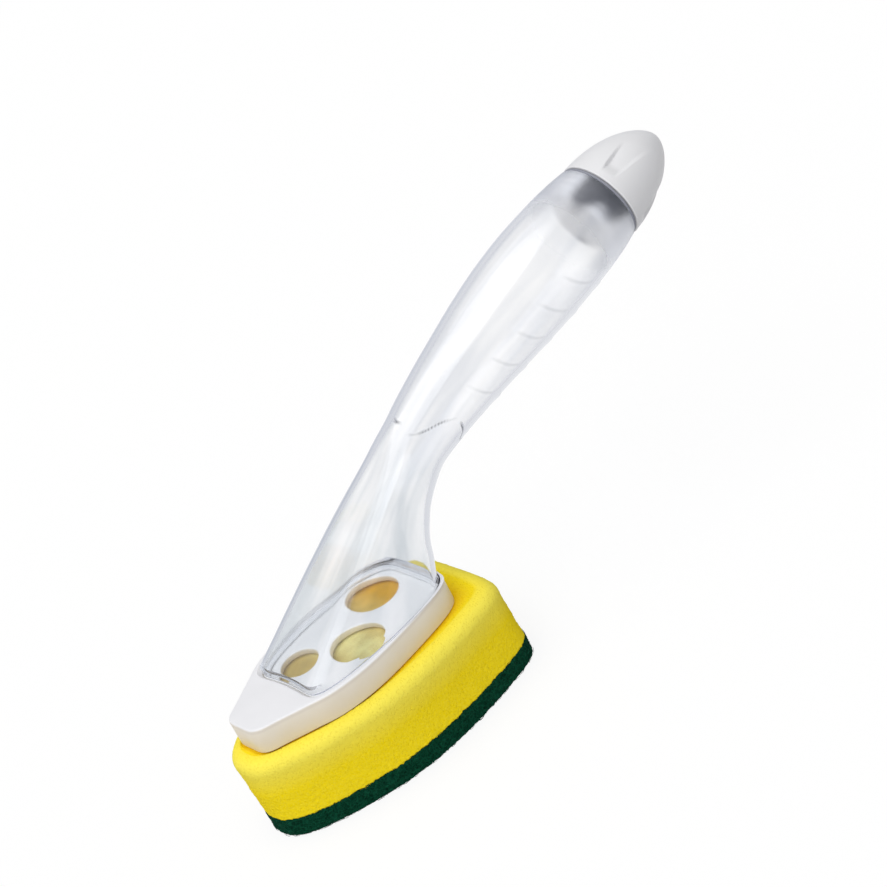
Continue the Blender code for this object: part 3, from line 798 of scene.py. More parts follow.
def white_polypropylene(name="white_moulded_polypropylene"):
    """White polypropylene, injection moulded: a soft satin face with a fine moulded grain."""
    material, tree, place = new_tree(name)
    skin_grain = add(tree, "TexNoise", {"Vector": place, "Scale": 1 / MOULD_GRAIN, "Detail": 3.0})["Fac"]
    clouds = add(tree, "TexNoise", {"Vector": place, "Scale": 1 / CAP_CLOUD, "Detail": 2.0})["Fac"]
    colour = add(tree, "Mix", {"Factor": clouds, 6: "#e6e6e8", 7: "#e0e0e2"}, data_type="RGBA")[2]
    satin = add(tree, "MapRange", {"Value": skin_grain, **NOISE_SPAN, "To Min": 0.30, "To Max": 0.42})
    bump = add(tree, "Bump", {"Height": skin_grain, "Distance": 0.00003, "Strength": 0.5})
    shader = add(tree, "BsdfPrincipled", {
        "Base Color": colour,
        "Roughness": satin["Result"],
        "IOR": 1.49,
        "Normal": bump["Normal"],
    })
    add(tree, "OutputMaterial", {"Surface": shader["BSDF"]})
    return material


def white_polypropylene_painted_light(name="white_moulded_polypropylene_painted_light"):
    """White polypropylene, injection moulded, with painted light: a warm yellow bounce from the foam low
    on the skirt's upright sides, and a whiter floor in the pocket."""
    material, tree, place = new_tree(name)
    skin_grain = add(tree, "TexNoise", {"Vector": place, "Scale": 1 / MOULD_GRAIN, "Detail": 3.0})["Fac"]
    clouds = add(tree, "TexNoise", {"Vector": place, "Scale": 1 / TRAY_CLOUD, "Detail": 3.0})["Fac"]
    level = add(tree, "SeparateXYZ", {"Vector": place})["Z"]
    # Painted bounce light: a warm yellow, #ddcba6, low on the upright sides of the skirt, for light
    # thrown up by the foam.
    wander = add(tree, "MapRange", {
        "Value": clouds, **NOISE_SPAN, "To Min": -PAINTED_BOUNCE_WANDER, "To Max": PAINTED_BOUNCE_WANDER,
    })["Result"]
    height = add(tree, "Math", {0: level, 1: wander}, operation="ADD")[0]
    low_down = add(tree, "MapRange", {
        "Value": height, "From Min": TRAY_BASE_Z, "From Max": RIM_Z, "To Min": 0.9, "To Max": 0.45,
    })["Result"]
    faces = add(tree, "NewGeometry")["Normal"]
    upright = add(tree, "MapRange", {
        "Value": add(tree, "SeparateXYZ", {"Vector": faces})["Z"],
        "From Min": 0.25,
        "From Max": 0.8,
        "To Min": 1.0,
        "To Max": 0.0,
    })["Result"]
    painted_bounce = add(tree, "Math", {0: low_down, 1: upright}, operation="MULTIPLY")[0]
    # Painted light: the pocket's floor, seen through the clear foot, is drawn whiter, #fdfdfd.
    in_pocket = add(tree, "MapRange", {
        "Value": level,
        "From Min": POCKET_FLOOR_Z + SEAT_GAP,
        "From Max": RIM_Z - POCKET_CHAMFER,
        "To Min": 1.0,
        "To Max": 0.0,
    })["Result"]
    outside = add(tree, "Mix", {"Factor": clouds, 6: "#ededf0", 7: "#e7e7ea"}, data_type="RGBA")[2]
    painted_pocket_light = add(tree, "Mix", {"Factor": in_pocket, 6: outside, 7: "#fdfdfd"}, data_type="RGBA")[2]
    colour = add(tree, "Mix", {"Factor": painted_bounce, 6: painted_pocket_light, 7: "#ddcba6"}, data_type="RGBA")[2]
    satin = add(tree, "MapRange", {"Value": skin_grain, **NOISE_SPAN, "To Min": 0.32, "To Max": 0.45})
    bump = add(tree, "Bump", {"Height": skin_grain, "Distance": 0.00003, "Strength": 0.5})
    shader = add(tree, "BsdfPrincipled", {
        "Base Color": colour,
        "Roughness": satin["Result"],
        "IOR": 1.49,
        "Normal": bump["Normal"],
    })
    add(tree, "OutputMaterial", {"Surface": shader["BSDF"]})
    return material


def grey_polypropylene(name="grey_moulded_polypropylene"):
    """Natural polypropylene, injection moulded: milky and satin, with a dark grey-blue patch of
    painted shade on its wall."""
    material, tree, place = new_tree(name)
    skin_grain = add(tree, "TexNoise", {"Vector": place, "Scale": 1 / PLUG_GRAIN, "Detail": 3.0})["Fac"]
    # Painted shade: the dark grey-blue patch, #3a3d48, on the milky plug.
    clouds = add(tree, "Attribute", attribute_name="plug_painted_shade")["Fac"]
    milky = add(tree, "Mix", {"Factor": skin_grain, 6: "#f4f5f8", 7: "#fbfbfd"}, data_type="RGBA")[2]
    colour = add(tree, "Mix", {"Factor": clouds, 6: milky, 7: "#3a3d48"}, data_type="RGBA")[2]
    satin = add(tree, "MapRange", {"Value": skin_grain, **NOISE_SPAN, "To Min": 0.55, "To Max": 0.68})
    bump = add(tree, "Bump", {"Height": skin_grain, "Distance": 0.00004, "Strength": 0.5})
    shader = add(tree, "BsdfPrincipled", {
        "Base Color": colour,
        "Roughness": satin["Result"],
        "IOR": 1.49,
        "Normal": bump["Normal"],
    })
    add(tree, "OutputMaterial", {"Surface": shader["BSDF"]})
    return material


def dark_rubber(name="dark_moulded_rubber"):
    """Dark nitrile rubber, pressed: matt, with a faint bloom of paler grey."""
    material, tree, place = new_tree(name)
    bloom = add(tree, "TexNoise", {
        "Vector": place, "Scale": 1 / RUBBER_BLOOM, "Detail": 4.0, "Roughness": 0.65,
    })["Fac"]
    colour = add(tree, "Mix", {"Factor": bloom, 6: "#7b7d89", 7: "#9a9ca6"}, data_type="RGBA")[2]
    matt = add(tree, "MapRange", {"Value": bloom, **NOISE_SPAN, "To Min": 0.62, "To Max": 0.80})
    bump = add(tree, "Bump", {"Height": bloom, "Distance": 0.00005, "Strength": 0.6})
    shader = add(tree, "BsdfPrincipled", {
        "Base Color": colour,
        "Roughness": matt["Result"],
        "IOR": 1.52,
        "Normal": bump["Normal"],
    })
    add(tree, "OutputMaterial", {"Surface": shader["BSDF"]})
    return material


def grey_silicone(name="grey_moulded_silicone"):
    """Pale grey silicone rubber, pressed: satin, a little cloudy."""
    material, tree, place = new_tree(name)
    bloom = add(tree, "TexNoise", {"Vector": place, "Scale": 1 / SILICONE_BLOOM, "Detail": 3.0})["Fac"]
    colour = add(tree, "Mix", {"Factor": bloom, 6: "#eceef2", 7: "#f6f7f9"}, data_type="RGBA")[2]
    satin = add(tree, "MapRange", {"Value": bloom, **NOISE_SPAN, "To Min": 0.45, "To Max": 0.60})
    bump = add(tree, "Bump", {"Height": bloom, "Distance": 0.00004, "Strength": 0.5})
    shader = add(tree, "BsdfPrincipled", {
        "Base Color": colour,
        "Roughness": satin["Result"],
        "IOR": 1.41,
        "Normal": bump["Normal"],
    })
    add(tree, "OutputMaterial", {"Surface": shader["BSDF"]})
    return material


def yellow_urethane_foam(name="yellow_cut_urethane_foam"):
    """Open-cell polyurethane foam, cut: matt, with fine pores whose deeper colour is painted shade,
    painted shade where the top meets the tray, a paler crest that is a painted highlight, and
    painted shade in the tray's holes, browner or paler hole by hole. Real cells are about 0.3 mm
    across; the drawn ones are 0.8 mm, so that they show."""
    material, tree, place = new_tree(name)
    cells = add(tree, "TexVoronoi", {"Vector": place, "Scale": 1 / DRAWN_CELL})["Distance"]
    pits = add(tree, "MapRange", {
        "Value": cells, "From Min": 0.10, "From Max": 0.42, "To Min": 1.0, "To Max": 0.0,
    })["Result"]
    dust = add(tree, "TexNoise", {
        "Vector": place, "Scale": 1 / DRAWN_DUST, "Detail": 3.0, "Roughness": 0.6,
    })["Fac"]
    rough = add(tree, "Attribute", attribute_name="relief")["Fac"]
    # Painted shade: where the relief share is low, as where the top meets the tray, the foam is drawn a
    # deeper orange, #ffd000.
    clear_of_tray_shade = add(tree, "MapRange", {"Value": rough, "From Max": 0.5})["Result"]
    colour = add(tree, "Mix", {"Factor": clear_of_tray_shade, 6: "#ffd000", 7: "#fde004"}, data_type="RGBA")[2]
    # Painted highlight: the crest of the rounded edge is drawn paler, #fff060.
    from_crest = add(tree, "Math", {0: rough, 1: FOAM_CREST_RELIEF}, operation="SUBTRACT")[0]
    painted_crest_highlight = add(tree, "MapRange", {
        "Value": add(tree, "Math", {0: from_crest}, operation="ABSOLUTE")[0],
        "From Min": 0.06,
        "From Max": 0.24,
        "To Min": 0.85,
        "To Max": 0.0,
    })["Result"]
    colour = add(tree, "Mix", {"Factor": painted_crest_highlight, 6: colour, 7: "#fff060"}, data_type="RGBA")[2]
    dusty = add(tree, "MapRange", {
        "Value": dust, "From Min": 0.35, "From Max": 0.75, "To Max": 0.35,
    })["Result"]
    colour = add(tree, "Mix", {"Factor": dusty, 6: colour, 7: "#fff25c"}, data_type="RGBA")[2]
    # Painted shade in the pores: their insides are drawn a deeper yellow, #e2b800.
    pore_shade = add(tree, "MapRange", {"Value": pits, "To Max": 0.16})["Result"]
    colour = add(tree, "Mix", {"Factor": pore_shade, 6: colour, 7: "#e2b800"}, data_type="RGBA")[2]
    parts = add(tree, "SeparateXYZ", {"Vector": place})
    # Painted shade in the tray's holes: the foam under the tray is drawn browner, paler or deeper orange
    # hole by hole, with darker patches.
    under_tray = add(tree, "MapRange", {
        "Value": parts["Z"], "From Min": TRAY_BASE_Z + SEAT_GAP, "From Max": TRAY_BASE_Z + TRAY_WALL,
    })["Result"]
    front, middle, rear = HOLE_X
    past_front = add(tree, "MapRange", {
        "Value": parts["X"], "From Min": front + HOLE_BLEND, "From Max": middle - HOLE_BLEND,
    })["Result"]
    at_rear = add(tree, "MapRange", {
        "Value": parts["X"], "From Min": middle + HOLE_BLEND, "From Max": rear + HOLE_BLEND,
    })["Result"]
    hole_shade = add(tree, "Mix", {"Factor": past_front, 6: "#ccb25c", 7: "#f2e99e"}, data_type="RGBA")[2]
    hole_shade = add(tree, "Mix", {"Factor": at_rear, 6: hole_shade, 7: "#e0aa20"}, data_type="RGBA")[2]
    patches = add(tree, "TexNoise", {"Vector": place, "Scale": 1 / HOLE_SHADE_PATCH, "Detail": 3.0})["Fac"]
    patchy_hole_shade = add(tree, "MapRange", {
        "Value": patches, "From Min": 0.4, "From Max": 0.7, "To Max": 0.4,
    })["Result"]
    hole_shade = add(tree, "Mix", {"Factor": patchy_hole_shade, 6: hole_shade, 7: "#b09040"}, data_type="RGBA")[2]
    colour = add(tree, "Mix", {"Factor": under_tray, 6: colour, 7: hole_shade}, data_type="RGBA")[2]
    matt = add(tree, "MapRange", {"Value": dust, **NOISE_SPAN, "To Min": 0.78, "To Max": 0.95})
    relief = add(tree, "Math", {0: dust, 1: pits}, operation="SUBTRACT")[0]
    bump = add(tree, "Bump", {"Height": relief, "Distance": 0.00018, "Strength": 0.6})
    shader = add(tree, "BsdfPrincipled", {
        "Base Color": colour,
        "Roughness": matt["Result"],
        "IOR": 1.45,
        "Specular IOR Level": 0.06,
        "Normal": bump["Normal"],
    })
    add(tree, "OutputMaterial", {"Surface": shader["BSDF"]})
    return material


def green_nonwoven(name="green_abrasive_nonwoven"):
    """Abrasive nonwoven of resin-bonded nylon fibre: dark green, matt, matted strands with open
    dark gaps. Real fibres are 0.05 mm thick; the drawn ones are 0.5 mm, so that they show."""
    material, tree, place = new_tree(name)
    warp = add(tree, "TexNoise", {"Vector": place, "Scale": 1 / STRAND_BEND, "Detail": 2.0})["Fac"]
    spread = add(tree, "CombineXYZ", {"X": warp, "Y": warp, "Z": warp})[0]
    scaled = add(tree, "VectorMath", {0: spread, "Scale": STRAND_SHIFT}, operation="SCALE")[0]
    shifted = add(tree, "VectorMath", {0: place, 1: scaled}, operation="ADD")[0]
    strands = add(tree, "TexVoronoi", {
        "Vector": shifted, "Scale": 1 / STRAND_SPACING,
    }, feature="DISTANCE_TO_EDGE")["Distance"]
    mat = add(tree, "MapRange", {
        "Value": strands, "From Max": 0.22, "To Min": 1.0, "To Max": 0.0,
    })["Result"]
    fluff = add(tree, "TexNoise", {
        "Vector": place, "Scale": 1 / DRAWN_FLUFF, "Detail": 4.0, "Roughness": 0.7,
    })["Fac"]
    fluffy = add(tree, "MapRange", {"Value": fluff, "From Min": 0.35, "From Max": 0.68})["Result"]
    colour = add(tree, "Mix", {"Factor": fluffy, 6: "#012416", 7: "#084630"}, data_type="RGBA")[2]
    on_strand = add(tree, "MapRange", {"Value": mat, "To Max": 0.5})["Result"]
    colour = add(tree, "Mix", {"Factor": on_strand, 6: colour, 7: "#145c43"}, data_type="RGBA")[2]
    matt = add(tree, "MapRange", {"Value": fluff, **NOISE_SPAN, "To Min": 0.75, "To Max": 0.95})
    bump = add(tree, "Bump", {"Height": mat, "Distance": 0.0003, "Strength": 0.8})
    shader = add(tree, "BsdfPrincipled", {
        "Base Color": colour,
        "Roughness": matt["Result"],
        "IOR": 1.53,
        "Specular IOR Level": 0.05,
        "Normal": bump["Normal"],
    })
    add(tree, "OutputMaterial", {"Surface": shader["BSDF"]})
    return material


# The clear handle

SEAM_LENGTH = length_at(SEAM_STATION)


def nearest_rib(length):
    """Number of the nearest finger rib, and how far past its crest a length lies."""
    number = held(round((length - RIB_FIRST) / RIB_SPACING), 0, RIB_COUNT - 1)
    return number, length - RIB_FIRST - number * RIB_SPACING


def rib_share(length):
    """Share of a finger rib's height: a short step on the mouth's side, a long run on the other."""
    _, past = nearest_rib(length)
    off = -past / RIB_STEP if past < 0 else past / RIB_RUN
    return math.cos(min(off, 1.0) * math.pi / 2) ** 2


def rib_step_shade(turn, length):
    """Share of the painted shade, a fine grey line, along each finger rib's step."""
    number, past = nearest_rib(length)
    place = Vector((math.cos(turn), math.sin(turn), RIB_LINE_STEP * number))
    uneven = 1 + RIB_LINE_WANDER * noise.noise(place * RIB_LINE_GRAIN)
    beside = (math.degrees(turn) - RIB_LINE_TURN_DEG) / (RIB_LINE_SPREAD_DEG * uneven)
    return RIB_SHADE_SHARE * max(0.0, 1 - abs(past) / RIB_STEP) * max(0.0, 1 - beside**4)


def seam_share(turn, length):
    """Share of the joint's groove at a place of the outer wall: an uneven line, here and there."""
    place = Vector((math.cos(turn), math.sin(turn), 0.0))
    wander = SEAM_WANDER * noise.noise(place * SEAM_WANDER_GRAIN)
    tilt = SEAM_TILT * math.cos(turn - math.radians(SEAM_TILT_TURN_DEG))
    tilt += SEAM_KINK * math.sin(SEAM_KINK_COUNT * (turn - math.radians(SEAM_KINK_TURN_DEG)))
    from_seam = abs(length - SEAM_LENGTH - SEAM_DROP - tilt - wander) / (SEAM_WIDTH / 2)
    patchy = max(
        SEAM_PATCH_PEAK * strength * (1 - abs(math.degrees(turn) - middle) / spread)
        for middle, spread, strength in SEAM_PATCHES
    )
    patchy += SEAM_PATCH_NOISE * noise.noise(place * SEAM_PATCH_GRAIN)
    return held(patchy) * math.cos(min(from_seam, 1.0) * math.pi / 2) ** 2


def outer_relief(length):
    """Inset of the outer wall round the section at a length back from the mouth: finger ribs
    stand out below, and the joint between the two mouldings is a faint uneven groove."""
    rib = RIB_HEIGHT * rib_share(length)

    def inset(turn):
        from_under = abs(math.degrees(turn) - 180)
        lift = rib * max(0.0, 1 - (from_under / RIB_SPREAD_DEG) ** 2)
        return SEAM_DEPTH * seam_share(turn, length) - lift

    return inset


def make_clear_handle(material):
    """The two clear mouldings, welded at the neck and drawn as one skin: a flared foot, open below,
    a hollow grip with finger ribs, and a threaded mouth. The joint keeps a fine dark line, and
    each rib's step a fine line of painted shade."""
    foot_length = length_at(0)
    bore_length = MOUTH_DEPTH + MOUTH_RAMP
    seam_reach = SEAM_TILT + SEAM_KINK + SEAM_WIDTH + SEAM_WANDER
    seam_top = SEAM_LENGTH + SEAM_DROP - seam_reach
    seam_foot = SEAM_LENGTH + SEAM_DROP + seam_reach
    rings, lengths, outer = [], [], []

    def row(ring, length, is_outer=0.0):
        rings.append(ring)
        lengths.append(length)
        outer.append(is_outer)

    for inset, over in reversed(rounded(LIP_EDGE_ROUND)):
        row(at_level(foot_outline(inset), FOOT_BASE_Z + over), foot_length)
    outside = [
        *steps_between(foot_length, seam_foot, FOOT_ROW),
        *steps_between(seam_foot, seam_top, SEAM_ROW)[1:],
        *steps_between(seam_top, MOUTH_EDGE_ROUND, FINE_ROW)[1:],
    ]
    for length in outside:
        row(section_ring(station_at(length), outer_relief(length)), length, 1.0)
    for inset, under in rounded(MOUTH_EDGE_ROUND)[1:]:
        row(mouth_ring(MOUTH_RADIUS - inset, -under), 0.0)
    row(mouth_ring(BORE_RADIUS, 0), 0.0)
    for height in reversed(thread_places()):
        radius = threaded_radius(BORE_RADIUS, -THREAD_HEIGHT, height, THREAD_PITCH / 2)
        row(mouth_ring(radius, height), -height)
    row(mouth_ring(BORE_RADIUS, -MOUTH_DEPTH), MOUTH_DEPTH)
    for length in steps_between(bore_length, foot_length, COARSE_ROW):
        thinned = held((length - SEAM_LENGTH) / (foot_length - SEAM_LENGTH))
        wall = HANDLE_WALL + (FOOT_WALL - HANDLE_WALL) * thinned
        row(section_ring(station_at(length), wall), length)
    for inset, over in rounded(LIP_EDGE_ROUND):
        row(at_level(foot_outline(FOOT_WALL - inset), FOOT_BASE_Z + over), foot_length)
    bm = skin(rings, closed=True, reliefs=outer, lengths=lengths)
    # The layer of reliefs marks the outer wall here
    is_outer = bm.verts.layers.float["relief"]
    tube_place = bm.verts.layers.float_vector["tube_place"]
    joint = bm.verts.layers.float.new("joint")
    for vert in bm.verts:
        if vert[is_outer]:
            turn = math.atan2(vert[tube_place].y, vert[tube_place].x) % (2 * math.pi)
            length = vert[tube_place].z / TUBE_STRETCH
            vert[joint] = max(seam_share(turn, length), rib_step_shade(turn, length))
    return finish_piece("clear_handle", bm, material)


# The cap, its plug and its gasket

def cap_radius(height):
    """Outer radius of the bullet-shaped cap at a height over its rim."""
    u = held(height / CAP_LENGTH)
    flank = (1 - u**CAP_NOSE_POWER) ** CAP_FLANK_POWER
    return MOUTH_RADIUS * flank * (1 - CAP_TAPER_SHARE * u)


def flute_share(angle, height):
    """Depth share of the thumb flutes: a crisp step down at one side, a floor that slopes up a
    little, and a crisp rise at the other side, run out towards the nose."""
    sector = 2 * math.pi / FLUTE_COUNT
    off = (angle - math.radians(FLUTE_TURN_DEG) + sector / 2) % sector - sector / 2
    u = height / CAP_LENGTH
    across = off * cap_radius(height) / (FLUTE_WIDTH / 2 * (1 + FLUTE_SPLAY * u))
    from_foot = held((u - FLUTE_FOOT_SHARE) / FLUTE_FOOT_RUN_SHARE)
    tip = FLUTE_TIP_SHARE + FLUTE_TIP_LEAN_SHARE * held(across, -1.0)
    from_tip = held((tip - u) / FLUTE_TIP_RUN_SHARE)
    step = held((across + 1) / FLUTE_STEP_SHARE)
    rise = held((1 - across) / FLUTE_RISE_SHARE)
    slope = 1 - FLUTE_SLOPE_SHARE * (across + 1) / 2
    return step * rise * slope * eased(from_foot) * eased(from_tip)


def make_screw_cap(material):
    """White bullet-shaped cap with thumb flutes, and a socket for the plug."""
    socket_radius = PLUG_RADIUS + SEAT_GAP
    socket_end = CAP_RIM + CAP_SOCKET_DEPTH

    def fluted(height):
        base = cap_radius(height)
        return lambda angle: base - FLUTE_DEPTH * flute_share(angle, height)

    rings = [turned_ring(0.0, CAP_RIM + CAP_LENGTH, CAP_FACETS)]
    for i in range(1, CAP_ROWS):
        height = CAP_LENGTH * math.cos(math.pi / 2 * i / CAP_ROWS)
        if height > CAP_EDGE_ROUND:
            rings.append(turned_ring(fluted(height), CAP_RIM + height, CAP_FACETS))
    profile = [(cap_radius(0) - inset, CAP_RIM + over) for inset, over in rounded(CAP_EDGE_ROUND)]
    profile += [(socket_radius, CAP_RIM), (socket_radius, socket_end), (0.0, socket_end)]
    rings += [turned_ring(radius, height, CAP_FACETS) for radius, height in profile]
    return finish_piece("screw_cap", skin(rings), material, mouth_matrix())


def plug_painted_shade(place):
    """Share of painted shade at a place of the plug: a dark patch of two lobes, on each of two sides."""
    turn = math.atan2(place.y, place.x) - math.radians(PLUG_SHADE_TURN_DEG)
    turn = (turn + math.pi / 2) % math.pi - math.pi / 2
    depth = -place.z + max(0.0, PLUG_RADIUS - place.xy.length)
    lobe = -math.cos(2 * math.pi * turn / math.radians(PLUG_SHADE_LOBE_DEG))
    reach = PLUG_SHADE_DEPTH + PLUG_SHADE_LOBE_DEPTH * lobe - PLUG_SHADE_LEAN * turn
    inside = held((reach - depth) / PLUG_SHADE_EDGE + 0.5)
    spread = math.radians(PLUG_SHADE_SPREAD_DEG)
    beside = held((spread - abs(turn)) / (PLUG_SHADE_SIDE_SHARE * spread))
    return eased(inside) * eased(beside)


def make_threaded_plug(material):
    """Threaded plug: a cup pressed into the cap, its closed end in the mouth."""
    top = CAP_RIM + PLUG_COLLAR
    floor = -PLUG_DEPTH + PLUG_WALL
    flat_radius = PLUG_RADIUS - PLUG_EDGE_ROUND
    rings = [turned_ring(radius, -PLUG_DEPTH) for radius in steps_between(0.0, flat_radius, FINE_ROW)]
    for over, inset in rounded(PLUG_EDGE_ROUND, PLUG_ROUND_STEPS)[1:]:
        rings.append(turned_ring(PLUG_RADIUS - inset, -PLUG_DEPTH + over))
    for height in thread_places():
        rings.append(turned_ring(threaded_radius(PLUG_RADIUS, THREAD_HEIGHT, height, 0), height))
    for height in steps_between(-THREAD_TOP_DEPTH, top, FINE_ROW)[1:]:
        rings.append(turned_ring(PLUG_RADIUS, height))
    rings.append(turned_ring(PLUG_RADIUS - PLUG_WALL, top))
    rings.append(turned_ring(PLUG_RADIUS - PLUG_WALL, floor))
    rings.append(turned_ring(0.0, floor))
    bm = skin(rings)
    shade_layer = bm.verts.layers.float.new("plug_painted_shade")
    for vert in bm.verts:
        vert[shade_layer] = plug_painted_shade(vert.co)
    return finish_piece("threaded_plug", bm, material, mouth_matrix())


def make_rim_gasket(material):
    """Flat rubber ring round the plug, between the mouth's rim and the cap's rim."""
    inner = PLUG_RADIUS + SEAT_GAP
    outer = MOUTH_RADIUS - GASKET_INSET
    section = broken_edges(inner, outer, SEAT_GAP, SEAT_GAP + GASKET_THICKNESS)
    rings = [turned_ring(radius, height) for radius, height in section]
    return finish_piece("rim_gasket", skin(rings, closed=True), material, mouth_matrix())


# The head

def make_foot_gasket(material):
    """Soft ring in the tray's pocket that the foot's edge stands on."""
    section = broken_edges(0.0, SEAL_WIDTH, SEAL_LOW.z, SEAL_HIGH.z)
    rings = [at_level(foot_outline(SEAL_WIDTH - over), z) for over, z in section]
    return finish_piece("foot_gasket", skin(rings, closed=True), material)


def soap_holes():
    """Centre and diameter of each soap hole."""
    for x, (_, across, diameter) in zip(HOLE_X, SOAP_HOLES):
        yield Vector((x, across * FOOT_WIDTH / 2, 0)), diameter


def hole_cutter(centre, diameter, material):
    """Turned cutter that leaves a hole with rounded rims."""
    radius = diameter / 2
    wide = radius + HOLE_EDGE_ROUND
    low_end, high_end = TRAY_CEILING_Z - HOLE_EDGE_ROUND, POCKET_FLOOR_Z + HOLE_EDGE_ROUND
    edge = rounded(HOLE_EDGE_ROUND)
    profile = [
        (0.0, low_end),
        (wide, low_end),
        *((radius + out, TRAY_CEILING_Z + into) for into, out in edge),
        *((radius + out, POCKET_FLOOR_Z - into) for into, out in reversed(edge)),
        (wide, high_end),
        (0.0, high_end),
    ]
    rings = [turned_ring(size, height, HOLE_FACETS) for size, height in profile]
    return finish_piece("hole_cutter", skin(rings), material, Matrix.Translation(centre))


def make_white_tray(material):
    """White tray: a pocket for the foot on top, three soap holes through its floor, and a skirt
    that holds the foam below."""
    pocket = resampled(foot_outline(-SEAT_GAP), TRAY_FACETS)
    pocket_rim = resampled(foot_outline(-SEAT_GAP - POCKET_CHAMFER), TRAY_FACETS)
    skirt = tray_outline(TRAY_WALL)
    rings = [
        at_level(pocket, POCKET_FLOOR_Z),
        at_level(pocket, RIM_Z - POCKET_CHAMFER),
        at_level(pocket_rim, RIM_Z),
    ]
    for inset, under in reversed(rounded(TRAY_EDGE_ROUND)):
        rings.append(at_level(tray_outline(inset), RIM_Z - under))
    rings += [
        at_level(tray_outline(), TRAY_BASE_Z + TRAY_EDGE_ROUND / 2),
        at_level(tray_outline(TRAY_EDGE_ROUND / 2), TRAY_BASE_Z),
        at_level(skirt, TRAY_BASE_Z),
        at_level(skirt, TRAY_CEILING_Z),
    ]
    bm = skin(rings)
    cap_ends(bm)
    tray = finish_piece("white_tray", bm, material)
    cutters = []
    for centre, diameter in soap_holes():
        cutter = hole_cutter(centre, diameter, material)
        boolean = tray.modifiers.new("soap_hole", "BOOLEAN")
        boolean.operation = "DIFFERENCE"
        boolean.solver = "EXACT"
        boolean.object = cutter
        cutters.append(cutter)
    apply_modifiers(tray)
    for cutter in cutters:
        bpy.data.objects.remove(cutter)
    tray.data.set_sharp_from_angle(angle=math.radians(SMOOTH_ANGLE_DEG))
    return tray


def resampled(outline, count):
    """The same closed outline with count places, evenly by index."""
    total = len(outline)
    places = []
    for k in range(count):
        at = k * total / count
        i = int(at)
        places.append(outline[i % total].lerp(outline[(i + 1) % total], at - i))
    return places


def apply_modifiers(obj):
    """Puts the result of the modifiers in the mesh."""
    graph = bpy.context.evaluated_depsgraph_get()
    mesh = bpy.data.meshes.new_from_object(obj.evaluated_get(graph))
    obj.modifiers.clear()
    obj.data = mesh


def foam_relief(place):
    """How far the cut foam stands out at a place: slow waves, pores and fine roughness."""
    nearest = noise.voronoi(place / FOAM_CELL)[0][0]
    pit = eased(max(0.0, 1 - nearest / FOAM_PIT_SHARE))
    wave = noise.noise(place / FOAM_WAVE_LENGTH)
    dust = noise.noise(place / FOAM_DUST_SIZE)
    return FOAM_WAVE * wave + FOAM_DUST * dust - FOAM_PIT_DEPTH * pit


def boundary_level(place):
    """Level of the uneven line between foam and pad, round the sponge."""
    slow = noise.noise(Vector((place.x, place.y, 0)) / EDGE_WANDER_LENGTH)
    quick = noise.noise(Vector((place.x, place.y, 1)) / EDGE_QUICK_LENGTH)
    return PAD_THICKNESS + EDGE_WANDER * (slow + EDGE_QUICK_SHARE * quick)


def displace(bm, relief):
    """Moves each place of a skin out by its relief, times the share that its ring keeps."""
    bm.normal_update()
    share = bm.verts.layers.float["relief"]
    moves = [(v, v.normal * relief(v.co) * v[share]) for v in bm.verts if v[share]]
    for vert, move in moves:
        vert.co += move
        vert.co.z = max(vert.co.z, 0.0)


